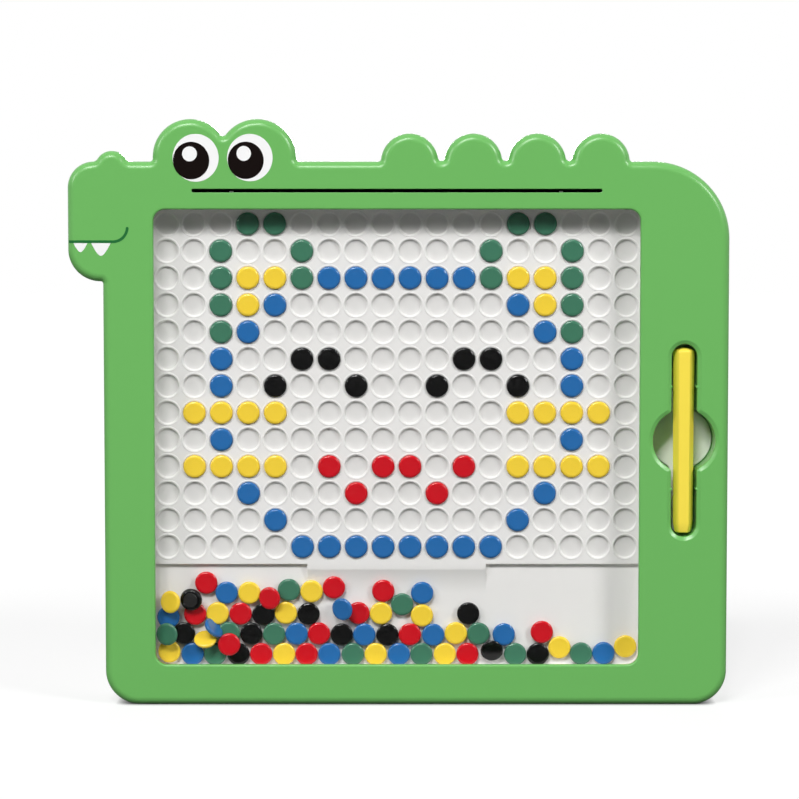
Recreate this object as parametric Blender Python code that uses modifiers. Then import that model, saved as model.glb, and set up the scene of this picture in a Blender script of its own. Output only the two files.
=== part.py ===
"""Magnetic drawing board in the shape of a crocodile, standing on its lower edge.

X runs to the right, Y to the back and Z up. The front face looks along -Y, and the
origin is under the middle of the board, on the surface that it stands on. A green
front shell holds a clear pane, a white tray of round wells with a reservoir below
them, a magnetic sheet and a white back cover that eight screws hold. Plastic discs
with a steel slug lie in the wells, and a hexagonal pen with a magnet lifts them.
"""

from math import atan2, ceil, cos, degrees, pi, radians, sin, sqrt

import bmesh
import bpy
from mathutils import Matrix, Vector

# Overall size of the board
OVERALL_WIDTH = 0.318
BOARD_DEPTH = 0.025
BACK_HEIGHT = 0.2628
FRONT_EDGE_RADIUS = 0.004
FRONT_EDGE_STEPS = 3
ARC_SEGMENT = 0.0055
SIDE_CORNER_RADIUS = 0.0165
SHOULDER_RADIUS = 0.037

# Snout, on the left of the neck
SNOUT_OVERHANG = 0.0167
SNOUT_TOP_RADIUS = 0.0125
SNOUT_HEIGHT = 0.0575
CHIN_FILLET = 0.0012

# Nostril, eye bumps and humps along the back, each a circle that rises from the top edge.
# The nostril and the eyes are placed from the snout's tip, the humps from the right edge.
NOSTRIL_FROM_TIP = 0.0212
NOSTRIL_RADIUS = 0.008
NOSTRIL_RISE = 0.0051
NOSTRIL_FILLET = 0.003
LEFT_EYE_FROM_TIP = 0.0589
LEFT_EYE_RADIUS = 0.018
RIGHT_EYE_FROM_TIP = 0.091
RIGHT_EYE_RADIUS = 0.0189
EYE_RISE = 0.0203
EYE_FILLET = 0.0016
HUMP_RADIUS = 0.0138
HUMP_RISE = 0.0134
HUMP_GAP = 0.00305
HUMP_VALLEY_RISE = 0.0004
HUMP_FILLET = 0.0014
LAST_HUMP_FROM_EDGE = 0.0619
LEAST_FLAT_BACK = 0.02

# Walls, gaps between pieces and how far a cutter runs past what it cuts
SHELL_WALL = 0.0022
GAP = 0.0003
OVERRUN = 0.001
ROOT_OVERLAP = 0.0007

# Window and its clear pane
LEFT_RAIL = 0.0245
RIGHT_RAIL = 0.043
TOP_RAIL = 0.023
WINDOW_SILL = 0.0197
WINDOW_CORNER_RADIUS = 0.0055
WINDOW_EDGE_RADIUS = 0.001
WINDOW_EDGE_STEPS = 2
PANE_THICKNESS = 0.0015
PANE_LAP = 0.0036

# Tray of wells
WELL_PITCH = 0.0131
WELL_SIDES = 8
WELL_DEPTH = 0.002
WELL_FLOOR_CLEARANCE = 0.0003
WELL_FLARE = 0.0004
GRID_SHIFT = -0.0002
PANEL_SETBACK = 0.013
PANEL_THICKNESS = 0.0031
TRAY_WALL = 0.0016
TRAY_CORNER_RADIUS = 0.009
TRAY_SIDE_LAP = 0.00245
TRAY_TOP_LAP = 0.0011
TRAY_SILL_LAP = 0.0024
LEAST_WELL_BORDER = 0.001
TOP_WELL_BORDER = 0.00145

# Reservoir below the wells, and the ramp that leads up from it
LEAST_RESERVOIR_HEIGHT = 0.047
LEDGE_DROP = 0.0024
RESERVOIR_STEP = 0.0021
RESERVOIR_THICKNESS = 0.0018
RAMP_WIDTH = 0.0871
RAMP_RUN = 0.0029

# Magnetic sheet behind the wells
SHEET_THICKNESS = 0.0008
SHEET_CLEARANCE = 0.0005

# Slot in which a picture card stands
SLOT_INSET = 0.01845
SLOT_OPENING = 0.0017
SLOT_ABOVE_WINDOW = 0.009
SLOT_DEPTH = 0.014
SLOT_WALL = 0.0016

# Pen, its recess and the round hollow for the fingers
PEN_FROM_EDGE = 0.0214
PEN_BELOW_MIDDLE = 0.0012
PEN_LENGTH = 0.0897
PEN_SIDES = 6
PEN_WIDTH = 0.0106
PEN_FOOT_WIDTH = 0.0098
PEN_SETBACK = 0.0008
PEN_EDGE_RADIUS = 0.0007
PEN_CROWN_LENGTH = 0.0022
PEN_CROWN_WIDTH = 0.0074
PEN_NOSE_LENGTH = 0.0052
PEN_NOSE_WIDTH = 0.0082
PEN_END_RADIUS = 0.0006
RECESS_CLEARANCE = 0.0009
RECESS_END_CLEARANCE = 0.0018
RECESS_EDGE_RADIUS = 0.0016
RECESS_EDGE_STEPS = 2
RECESS_WALL = 0.0018
RECESS_FILLET = 0.0022
FINGER_HOLLOW_DIAMETER = 0.0302
CLIP_RADIUS = 0.0009
CLIP_SPACING = 0.0495
CLIP_RISE = 0.0013
CLIP_LENGTH = 0.006
CLIP_SETBACK = 0.0024
MAGNET_DIAMETER = 0.005
MAGNET_LENGTH = 0.008
PLUG_LENGTH = 0.0025
CRADLE_LENGTH = 0.006
CRADLE_WIDTH = 0.0034
CRADLE_SPACING = 0.066

# Discs
DISC_DIAMETER = 0.011
DISC_THICKNESS = 0.0032
DISC_EDGE = 0.0006
DISC_SIDES = 10
SLUG_DIAMETER = 0.007
SLUG_THICKNESS = 0.0012
SLUG_RECESS_DEPTH = 0.0019

# Screws, their bosses in the front shell and their sinks in the back cover
SCREW_SIDES = 8
SCREW_HEAD_DIAMETER = 0.0052
SCREW_HEAD_HEIGHT = 0.0016
SCREW_SHANK_DIAMETER = 0.0026
SCREW_SHANK_LENGTH = 0.0085
BOSS_DIAMETER = 0.0068
BOSS_SIDES = 8
SINK_DEPTH = 0.0042
SINK_FLOOR = 0.0016
SINK_WALL = 0.0012
SCREW_EDGE_MARGIN = 0.0055

# Back cover and ribs
COVER_THICKNESS = 0.0024
RIB_THICKNESS = 0.0012
RIB_SHARES = (-0.33, -0.11, 0.11, 0.33)
SILL_RIB_SHARES = (-0.44, -0.22, 0.22, 0.44)
SIDE_LOCATOR_SHARES = (-0.22, 0.22)
SILL_LOCATOR_SHARES = (-0.11, 0.11)
SHELL_RIB_DEPTH = 0.0075
LOCATOR_LENGTH = 0.012
LOCATOR_DEPTH = 0.006

# Where the discs lie that draw the eyes and the mouth: wells out from the middle line, and
# rows down from the middle row
EYE_WELLS = ((3, -1), (2, -1), (4, 0), (1, 0))
MOUTH_WELLS = ((2, 3), (1, 4), (0, 3))

# Places worked out from the sizes above
RIGHT = OVERALL_WIDTH / 2
LEFT = -RIGHT
NECK = LEFT + SNOUT_OVERHANG
FRONT = -BOARD_DEPTH / 2
BACK = BOARD_DEPTH / 2
CHIN_HEIGHT = BACK_HEIGHT - SNOUT_HEIGHT
NOSTRIL_X = LEFT + NOSTRIL_FROM_TIP
LEFT_EYE_X = LEFT + LEFT_EYE_FROM_TIP
RIGHT_EYE_X = LEFT + RIGHT_EYE_FROM_TIP
HUMP_PITCH = 2 * HUMP_RADIUS + HUMP_GAP
LAST_HUMP_X = RIGHT - LAST_HUMP_FROM_EDGE
HUMP_SPACE = LAST_HUMP_X + HUMP_RADIUS - RIGHT_EYE_X - RIGHT_EYE_RADIUS - LEAST_FLAT_BACK
HUMP_COUNT = int(HUMP_SPACE / HUMP_PITCH)
HUMP_PLACES = [LAST_HUMP_X - HUMP_PITCH * i for i in range(HUMP_COUNT)]
SHELL_INSIDE = FRONT + SHELL_WALL
COVER_FRONT = BACK - COVER_THICKNESS
PANE_FRONT = SHELL_INSIDE + GAP
PANE_BACK = PANE_FRONT + PANE_THICKNESS
TRAY_FRONT = PANE_BACK + GAP
PANEL_FRONT = FRONT + PANEL_SETBACK
PANEL_BACK = PANEL_FRONT + PANEL_THICKNESS
WELL_FLOOR = PANEL_FRONT + WELL_DEPTH
RESERVOIR_FLOOR = PANEL_FRONT + RESERVOIR_STEP
TRAY_BACK = RESERVOIR_FLOOR + RESERVOIR_THICKNESS
SHEET_FRONT = PANEL_BACK + GAP
SHEET_BACK = SHEET_FRONT + SHEET_THICKNESS
WINDOW_LEFT = NECK + LEFT_RAIL
WINDOW_RIGHT = RIGHT - RIGHT_RAIL
WINDOW_TOP = BACK_HEIGHT - TOP_RAIL
WINDOW_X = (WINDOW_LEFT + WINDOW_RIGHT) / 2
WINDOW_WIDTH = WINDOW_RIGHT - WINDOW_LEFT
WINDOW_HEIGHT = WINDOW_TOP - WINDOW_SILL
WINDOW_MIDDLE = WINDOW_SILL + WINDOW_HEIGHT / 2
SLOT_HEIGHT = WINDOW_TOP + SLOT_ABOVE_WINDOW
SLOT_WIDTH = WINDOW_WIDTH - 2 * SLOT_INSET
CHAMBER_WIDTH = WINDOW_WIDTH + 2 * TRAY_SIDE_LAP
CHAMBER_TOP = WINDOW_TOP + TRAY_TOP_LAP
TRAY_SILL = WINDOW_SILL - TRAY_SILL_LAP
CHAMBER_MIDDLE = (TRAY_SILL + CHAMBER_TOP) / 2
CHAMBER_TALL = CHAMBER_TOP - TRAY_SILL
WELL_APOTHEM = DISC_DIAMETER / 2 + WELL_FLOOR_CLEARANCE
WELL_MOUTH = WELL_APOTHEM + WELL_FLARE
WELL_COLUMNS = int((CHAMBER_WIDTH - 2 * LEAST_WELL_BORDER) / WELL_PITCH)
WELL_ROWS = int((CHAMBER_TALL - LEAST_RESERVOIR_HEIGHT - LEDGE_DROP) / WELL_PITCH)
GRID_X = WINDOW_X + GRID_SHIFT
GRID_LEFT = GRID_X - (WELL_COLUMNS - 1) * WELL_PITCH / 2
GRID_TOP = CHAMBER_TOP - TOP_WELL_BORDER - WELL_PITCH / 2
LEDGE_HEIGHT = GRID_TOP - (WELL_ROWS - 1) * WELL_PITCH - WELL_MOUTH - LEDGE_DROP
TRAY_LEFT = GRID_X - CHAMBER_WIDTH / 2 - TRAY_WALL
TRAY_RIGHT = GRID_X + CHAMBER_WIDTH / 2 + TRAY_WALL
TRAY_BOTTOM = TRAY_SILL - TRAY_WALL
TRAY_TOP = CHAMBER_TOP + TRAY_WALL
BOSS_END = COVER_FRONT - SINK_DEPTH - GAP
PEN_ACROSS_FLATS = PEN_WIDTH * cos(pi / PEN_SIDES)
PEN_Y = FRONT + PEN_SETBACK + PEN_ACROSS_FLATS / 2
PEN_X = RIGHT - PEN_FROM_EDGE
PEN_MIDDLE = WINDOW_MIDDLE - PEN_BELOW_MIDDLE
PEN_FOOT = PEN_MIDDLE - PEN_LENGTH / 2
PEN_TOP = PEN_MIDDLE + PEN_LENGTH / 2
RECESS_HALF = PEN_WIDTH / 2 + RECESS_CLEARANCE
DISC_BACK = WELL_FLOOR - GAP

# Colours as red, green and blue on the screen's scale, with roughness and metallic value
FINISHES = {
    "green_shell": ((0.43, 0.73, 0.38), 0.35, 0.0),
    "white_tray": ((0.89, 0.885, 0.875), 0.45, 0.0),
    "white_cover": ((0.86, 0.86, 0.84), 0.5, 0.0),
    "clear_pane": ((0.93, 0.95, 0.96), 0.05, 0.0),
    "magnetic_rubber": ((0.12, 0.11, 0.11), 0.8, 0.0),
    "yellow_pen": ((0.97, 0.86, 0.32), 0.35, 0.0),
    "magnet_steel": ((0.6, 0.6, 0.62), 0.3, 1.0),
    "screw_steel": ((0.62, 0.62, 0.63), 0.35, 1.0),
    "black_disc": ((0.08, 0.08, 0.08), 0.35, 0.0),
    "red_disc": ((0.79, 0.12, 0.16), 0.35, 0.0),
}


def clear_scene():
    for item in list(bpy.data.objects):
        bpy.data.objects.remove(item, do_unlink=True)


def make_collection(name):
    collection = bpy.data.collections.new(name)
    bpy.context.scene.collection.children.link(collection)
    return collection


def linear(channel):
    """A screen colour value as Blender's linear value."""
    return channel / 12.92 if channel <= 0.04045 else ((channel + 0.055) / 1.055) ** 2.4


def finish_of(name):
    material = bpy.data.materials.get(name)
    if material:
        return material
    colour, roughness, metallic = FINISHES[name]
    material = bpy.data.materials.new(name)
    material.use_nodes = True
    shader = material.node_tree.nodes["Principled BSDF"]
    shader.inputs["Base Color"].default_value = [*map(linear, colour), 1]
    shader.inputs["Roughness"].default_value = roughness
    shader.inputs["Metallic"].default_value = metallic
    material.diffuse_color = [*map(linear, colour), 1]
    return material


def add_part(name, mesh, finish, place=(0, 0, 0), parent=None):
    """One sub-part: its own object, named for its piece, with its own finish."""
    part = bpy.data.objects.new(name, mesh)
    PARTS.objects.link(part)
    if not mesh.materials:
        mesh.materials.append(finish_of(finish))
    part.location = Vector(place) - (parent.location if parent else Vector())
    part.parent = parent
    return part


def add_tool(name, mesh):
    """A solid that only cuts or joins another: the build leaves it out."""
    tool = bpy.data.objects.new(name, mesh)
    TOOLS.objects.link(tool)
    tool.hide_render = True
    tool.display_type = "WIRE"
    return tool


def combine(part, tool, operation):
    boolean = part.modifiers.new(f"{operation.lower()}_{tool.name}", "BOOLEAN")
    boolean.operation = operation
    boolean.solver = "EXACT"
    boolean.object = tool


def cut(part, name, mesh):
    combine(part, add_tool(name, mesh), "DIFFERENCE")


def join(part, name, mesh):
    combine(part, add_tool(name, mesh), "UNION")


# Flat outlines: arcs that meet in a tangent, each point with its outward normal


def arc(centre, radius, start, end):
    """Points along an arc in degrees. One that runs clockwise is a hollow corner."""
    sweep = end - start
    outward = 1 if sweep > 0 else -1
    steps = max(2, ceil(radius * abs(radians(sweep)) / ARC_SEGMENT))
    points = []
    for step in range(steps + 1):
        angle = radians(start + sweep * step / steps)
        ray = Vector((cos(angle), sin(angle)))
        points.append((Vector(centre) + radius * ray, outward * ray))
    return points


def swell(centre, radius, start, end):
    """An arc that runs anticlockwise, whatever turns its two angles are given in."""
    return arc(centre, radius, start, start + (end - start) % 360)


def hollow(centre, radius, start, end):
    """An arc that runs clockwise, whatever turns its two angles are given in."""
    return arc(centre, radius, start, start - (start - end) % 360)


def heading(start, end):
    """The direction from one centre to another, in degrees."""
    return degrees(atan2(end[1] - start[1], end[0] - start[0]))


def foot_fillet(centre, radius, fillet, level, side):
    """Centre of the hollow fillet between a circle and the level line that it rises from."""
    rise = level + fillet - centre[1]
    return centre[0] + side * sqrt((radius + fillet) ** 2 - rise**2), level + fillet


def notch_fillet(right, right_radius, left, left_radius, fillet):
    """Centre of the hollow fillet that touches two overlapping circles from above."""
    reach_right, reach_left = right_radius + fillet, left_radius + fillet
    gap = Vector(left) - Vector(right)
    along = (reach_right**2 - reach_left**2 + gap.length_squared) / (2 * gap.length)
    above = sqrt(reach_right**2 - along**2)
    across = Vector((gap.y, -gap.x)).normalized()
    return tuple(Vector(right) + along * gap.normalized() + above * across)


def bumps(circles, foot_radius, notches, level):
    """The line over a row of circles, from right to left, and down to the level line."""
    right_foot = foot_fillet(*circles[0], foot_radius, level, 1)
    left_foot = foot_fillet(*circles[-1], foot_radius, level, -1)
    corners = [(right_foot, foot_radius), *notches, (left_foot, foot_radius)]
    points = hollow(*corners[0], 270, heading(right_foot, circles[0][0]))
    for index, (centre, radius) in enumerate(circles):
        before, after = corners[index], corners[index + 1]
        points += swell(centre, radius, heading(centre, before[0]), heading(centre, after[0]))
        last = index == len(circles) - 1
        end = 270 if last else heading(after[0], circles[index + 1][0])
        points += hollow(*after, heading(after[0], centre), end)
    return points


def hump_notch(right_x, centre_height):
    """Fillet between two humps, with its lowest point at the valley's height."""
    half_pitch = HUMP_PITCH / 2
    valley = BACK_HEIGHT + HUMP_VALLEY_RISE
    drop = valley - centre_height
    radius = (half_pitch**2 + drop**2 - HUMP_RADIUS**2) / (2 * (HUMP_RADIUS - drop))
    return (right_x - half_pitch, valley + radius), radius


def board_outline():
    """The crocodile's outline from the front, anticlockwise from its lower left corner."""
    corner, shoulder = SIDE_CORNER_RADIUS, SHOULDER_RADIUS
    points = arc((NECK + corner, corner), corner, 180, 270)
    points += arc((RIGHT - corner, corner), corner, 270, 360)
    points += arc((RIGHT - shoulder, BACK_HEIGHT - shoulder), shoulder, 0, 90)
    hump_height = BACK_HEIGHT + HUMP_RISE - HUMP_RADIUS
    humps = [((x, hump_height), HUMP_RADIUS) for x in HUMP_PLACES]
    valleys = [hump_notch(x, hump_height) for x in HUMP_PLACES[:-1]]
    points += bumps(humps, HUMP_FILLET, valleys, BACK_HEIGHT)
    eye_top = BACK_HEIGHT + EYE_RISE
    right_eye = ((RIGHT_EYE_X, eye_top - RIGHT_EYE_RADIUS), RIGHT_EYE_RADIUS)
    left_eye = ((LEFT_EYE_X, eye_top - LEFT_EYE_RADIUS), LEFT_EYE_RADIUS)
    notch = (notch_fillet(*right_eye, *left_eye, EYE_FILLET), EYE_FILLET)
    points += bumps([right_eye, left_eye], EYE_FILLET, [notch], BACK_HEIGHT)
    nostril_height = BACK_HEIGHT + NOSTRIL_RISE - NOSTRIL_RADIUS
    nostril = ((NOSTRIL_X, nostril_height), NOSTRIL_RADIUS)
    points += bumps([nostril], NOSTRIL_FILLET, [], BACK_HEIGHT)
    top = SNOUT_TOP_RADIUS
    points += arc((LEFT + top, BACK_HEIGHT - top), top, 90, 180)
    chin = SNOUT_OVERHANG - CHIN_FILLET
    points += arc((LEFT + chin, CHIN_HEIGHT + chin), chin, 180, 270)
    points += arc((NECK - CHIN_FILLET, CHIN_HEIGHT - CHIN_FILLET), CHIN_FILLET, 90, 0)
    return points


def rounded_box(middle, width, height, radius):
    """Outline of an upright rectangle with round corners."""
    points = []
    for across, up, start in ((1, 1, 0), (-1, 1, 90), (-1, -1, 180), (1, -1, 270)):
        x = middle[0] + across * (width / 2 - radius)
        z = middle[1] + up * (height / 2 - radius)
        points += arc((x, z), radius, start, start + 90)
    return points


def recess_outline():
    """The pen's upright slot with the round finger hollow across its middle."""
    half, fillet, radius = RECESS_HALF, RECESS_FILLET, FINGER_HOLLOW_DIAMETER / 2
    top = PEN_TOP + RECESS_END_CLEARANCE - half
    bottom = PEN_FOOT - RECESS_END_CLEARANCE + half
    middle = (PEN_X, PEN_MIDDLE)
    rise = sqrt((radius + fillet) ** 2 - (half + fillet) ** 2)
    points = arc((PEN_X, top), half, 0, 180)
    for side, inner in ((-1, 0), (1, 180)):
        near = (PEN_X + side * (half + fillet), middle[1] - side * rise)
        far = (near[0], middle[1] + side * rise)
        points += hollow(near, fillet, inner, heading(near, middle))
        points += swell(middle, radius, heading(middle, near), heading(middle, far))
        points += hollow(far, fillet, heading(far, middle), inner)
        if side < 0:
            points += arc((PEN_X, bottom), half, 180, 360)
    return points


def tidy(points):
    """The same outline without the doubled points where arcs meet."""
    kept = []
    for place, normal in points:
        if not kept or (place - kept[-1][0]).length > GAP / 10:
            kept.append((place, normal))
    if (kept[0][0] - kept[-1][0]).length <= GAP / 10:
        kept.pop()
    return kept


def loft(name, outline, stations):
    """A closed solid through copies of an outline, each moved outward and set at its Y."""
    outline = tidy(outline)
    bm = bmesh.new()
    rings = []
    for outset, y in stations:
        places = [place + outset * normal for place, normal in outline]
        rings.append([bm.verts.new((place.x, y, place.y)) for place in places])
    for near, far in zip(rings, rings[1:]):
        for i in range(len(outline)):
            bm.faces.new((near[i - 1], near[i], far[i], far[i - 1]))
    bm.faces.new(rings[0])
    bm.faces.new(rings[-1])
    bmesh.ops.recalc_face_normals(bm, faces=bm.faces)
    mesh = bpy.data.meshes.new(name)
    bm.to_mesh(mesh)
    bm.free()
    return mesh


def prism(name, outline, near, far):
    return loft(name, outline, [(0, near), (0, far)])


def flared(name, outline, near, radius, steps, far):
    """A cutter whose mouth opens in a round flare, which rounds the edge that it leaves."""
    stations = [(radius, near - OVERRUN)]
    for step in range(steps + 1):
        angle = radians(90 * step / steps)
        stations.append((radius * (1 - sin(angle)), near + radius * (1 - cos(angle))))
    return loft(name, outline, stations + [(0, far)])


def boxes(name, corners):
    """Separate upright boxes in one mesh, each given by its lowest and highest corners."""
    bm = bmesh.new()
    for low, high in corners:
        low, high = Vector(low), Vector(high)
        made = bmesh.ops.create_cube(bm, size=1)["verts"]
        bmesh.ops.scale(bm, verts=made, vec=high - low)
        bmesh.ops.translate(bm, verts=made, vec=(low + high) / 2)
    mesh = bpy.data.meshes.new(name)
    bm.to_mesh(mesh)
    bm.free()
    return mesh


def rods(name, places, radius, near, far, sides):
    """Separate round rods along Y in one mesh, at the given X and Z."""
    bm = bmesh.new()
    for x, z in places:
        made = bmesh.ops.create_cone(
            bm, cap_ends=True, segments=sides, radius1=radius, radius2=radius, depth=far - near
        )["verts"]
        turn_to_y(bm, made)
        bmesh.ops.translate(bm, verts=made, vec=(x, (near + far) / 2, z))
    mesh = bpy.data.meshes.new(name)
    bm.to_mesh(mesh)
    bm.free()
    return mesh


def turn_to_y(bm, verts):
    """Turns what was made along Z so that its lower end faces the front."""
    for vert in verts:
        vert.co = (vert.co.x, vert.co.z, -vert.co.y)


def turned(name, profile, sides, finish, place, parent=None):
    """A piece turned about its own Z axis from a profile that runs down its outer side."""
    mesh = bpy.data.meshes.new(name)
    edges = [(i, i + 1) for i in range(len(profile) - 1)]
    mesh.from_pydata([(radius, 0, height) for radius, height in profile], edges, [])
    part = add_part(name, mesh, finish, place, parent)
    add_screw(part, sides)
    return part


def add_screw(part, sides):
    screw = part.modifiers.new("turn", "SCREW")
    screw.steps = sides
    screw.render_steps = sides
    screw.use_merge_vertices = True
    screw.merge_threshold = GAP / 100
    screw.use_normal_calculate = False


# Front shell


def screw_places():
    """X and Z of the eight screws: clear of the tray, the slot's pocket and the pen."""
    left = (NECK + TRAY_LEFT) / 2
    low = SIDE_CORNER_RADIUS - SHELL_WALL
    sill = (SHELL_WALL + TRAY_BOTTOM) / 2
    eyes = (LEFT_EYE_X + RIGHT_EYE_X) / 2
    under_bump = BACK_HEIGHT - SHELL_WALL
    return [
        (left, low),
        (WINDOW_X, sill),
        (PEN_X, low),
        (left, WINDOW_MIDDLE),
        (left, BACK_HEIGHT - SNOUT_OVERHANG - SHELL_WALL),
        (eyes, under_bump),
        (HUMP_PLACES[HUMP_COUNT // 2], under_bump),
        (PEN_X, BACK_HEIGHT - SHOULDER_RADIUS - SCREW_EDGE_MARGIN),
    ]


def shell_ribs():
    """Stiffening ribs on the inside of the rails, from the outer wall towards the tray."""
    near, far = SHELL_INSIDE - ROOT_OVERLAP, SHELL_INSIDE + SHELL_RIB_DEPTH
    half = RIB_THICKNESS / 2
    ribs = []
    wall_side = SHELL_WALL - ROOT_OVERLAP
    for share in SILL_RIB_SHARES:
        x = WINDOW_X + share * WINDOW_WIDTH - half
        low = (x, near, wall_side)
        ribs.append((low, (x + RIB_THICKNESS, far, TRAY_BOTTOM - GAP)))
    for share in RIB_SHARES:
        z = WINDOW_MIDDLE + share * WINDOW_HEIGHT - half
        low = (NECK + wall_side, near, z)
        ribs.append((low, (TRAY_LEFT - GAP, far, z + RIB_THICKNESS)))
    return ribs


def locators():
    """Short fins that hold the tray in place beside its outer wall."""
    near, far = SHELL_INSIDE - ROOT_OVERLAP, TRAY_FRONT + LOCATOR_DEPTH
    half = LOCATOR_LENGTH / 2
    fins = []
    for share in SILL_LOCATOR_SHARES:
        x = WINDOW_X + share * WINDOW_WIDTH
        low = TRAY_BOTTOM - GAP - RIB_THICKNESS
        fins.append(((x - half, near, low), (x + half, far, low + RIB_THICKNESS)))
    for share in SIDE_LOCATOR_SHARES:
        z = WINDOW_MIDDLE + share * WINDOW_HEIGHT
        low = TRAY_LEFT - GAP - RIB_THICKNESS
        fins.append(((low, near, z - half), (low + RIB_THICKNESS, far, z + half)))
    return fins


def build_front_shell():
    stations = []
    for step in range(FRONT_EDGE_STEPS + 1):
        angle = radians(90 * step / FRONT_EDGE_STEPS)
        inset = FRONT_EDGE_RADIUS * (1 - sin(angle))
        stations.append((-inset, FRONT + FRONT_EDGE_RADIUS * (1 - cos(angle))))
    stations += [(0, BACK), (-SHELL_WALL, BACK), (-SHELL_WALL, SHELL_INSIDE)]
    shell = add_part("front_shell", loft("front_shell", board_outline(), stations), "green_shell")

    root = SHELL_INSIDE - ROOT_OVERLAP
    places = screw_places()
    recess = recess_outline()
    slot_middle = (WINDOW_X, SLOT_HEIGHT)
    pocket = rounded_box(
        slot_middle,
        SLOT_WIDTH + 2 * SLOT_WALL,
        SLOT_OPENING + 2 * SLOT_WALL,
        SLOT_OPENING / 2 + SLOT_WALL,
    )
    recess_tube = loft(
        "recess_tube", recess, [(RECESS_WALL, root), (RECESS_WALL, COVER_FRONT - GAP)]
    )
    join(shell, "recess_tube", recess_tube)
    join(shell, "slot_pocket", prism("slot_pocket", pocket, root, FRONT + SLOT_DEPTH + SLOT_WALL))
    join(shell, "bosses", rods("bosses", places, BOSS_DIAMETER / 2, root, BOSS_END, BOSS_SIDES))
    join(shell, "shell_ribs", boxes("shell_ribs", shell_ribs()))
    join(shell, "locators", boxes("locators", locators()))

    window = rounded_box(
        (WINDOW_X, WINDOW_MIDDLE), WINDOW_WIDTH, WINDOW_HEIGHT, WINDOW_CORNER_RADIUS
    )
    window_cutter = flared(
        "window_cutter",
        window,
        FRONT,
        WINDOW_EDGE_RADIUS,
        WINDOW_EDGE_STEPS,
        SHELL_INSIDE + OVERRUN,
    )
    cut(shell, "window_cutter", window_cutter)
    slot = rounded_box(slot_middle, SLOT_WIDTH, SLOT_OPENING, SLOT_OPENING / 2)
    cut(shell, "slot_cutter", prism("slot_cutter", slot, FRONT - OVERRUN, FRONT + SLOT_DEPTH))
    recess_cutter = flared(
        "recess_cutter", recess, FRONT, RECESS_EDGE_RADIUS, RECESS_EDGE_STEPS, BACK - GAP
    )
    cut(shell, "recess_cutter", recess_cutter)
    pilot_radius = SCREW_SHANK_DIAMETER / 2 + GAP
    pilot_start = BOSS_END - SCREW_SHANK_LENGTH
    pilots = rods(
        "pilot_holes", places, pilot_radius, pilot_start, BOSS_END + OVERRUN, SCREW_SIDES
    )
    cut(shell, "pilot_holes", pilots)
    join(shell, "pen_clips", pen_clips())


def pen_clips():
    """Four small upright nibs on the walls of the recess that pinch the pen."""
    wall = RECESS_HALF + CLIP_RADIUS - (RECESS_CLEARANCE - GAP)
    near = FRONT + CLIP_SETBACK
    middle = PEN_MIDDLE + CLIP_RISE
    heights = (middle - CLIP_SPACING / 2, middle + CLIP_SPACING / 2)
    places = [(PEN_X + side * wall, z) for side in (-1, 1) for z in heights]
    return rods("pen_clips", places, CLIP_RADIUS, near, near + CLIP_LENGTH, BOSS_SIDES)


# Pane, tray and sheet


def build_pane():
    outline = rounded_box(
        (WINDOW_X, WINDOW_MIDDLE),
        WINDOW_WIDTH + 2 * PANE_LAP,
        WINDOW_HEIGHT + 2 * PANE_LAP,
        WINDOW_CORNER_RADIUS + PANE_LAP,
    )
    mesh = prism("window_pane", outline, PANE_FRONT, PANE_BACK)
    add_part("window_pane", mesh, "clear_pane")


def well_cutter():
    """All the wells: a slightly conical dish with eight sides, repeated over the grid."""
    slope = WELL_FLARE / WELL_DEPTH
    to_corner = 1 / cos(pi / WELL_SIDES)
    bm = bmesh.new()
    made = bmesh.ops.create_cone(
        bm,
        cap_ends=True,
        segments=WELL_SIDES,
        radius1=(WELL_MOUTH + slope * OVERRUN) * to_corner,
        radius2=WELL_APOTHEM * to_corner,
        depth=WELL_DEPTH + OVERRUN,
    )["verts"]
    bmesh.ops.rotate(bm, verts=made, matrix=Matrix.Rotation(pi / WELL_SIDES, 3, "Z"))
    turn_to_y(bm, made)
    middle = (PANEL_FRONT - OVERRUN + WELL_FLOOR) / 2
    bmesh.ops.translate(bm, verts=made, vec=(GRID_LEFT, middle, GRID_TOP))
    mesh = bpy.data.meshes.new("well_cutter")
    bm.to_mesh(mesh)
    bm.free()
    tool = add_tool("well_cutter", mesh)
    for count, offset in ((WELL_COLUMNS, (WELL_PITCH, 0, 0)), (WELL_ROWS, (0, 0, -WELL_PITCH))):
        array = tool.modifiers.new("repeat", "ARRAY")
        array.count = count
        array.use_relative_offset = False
        array.use_constant_offset = True
        array.constant_offset_displace = offset
    return tool


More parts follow.
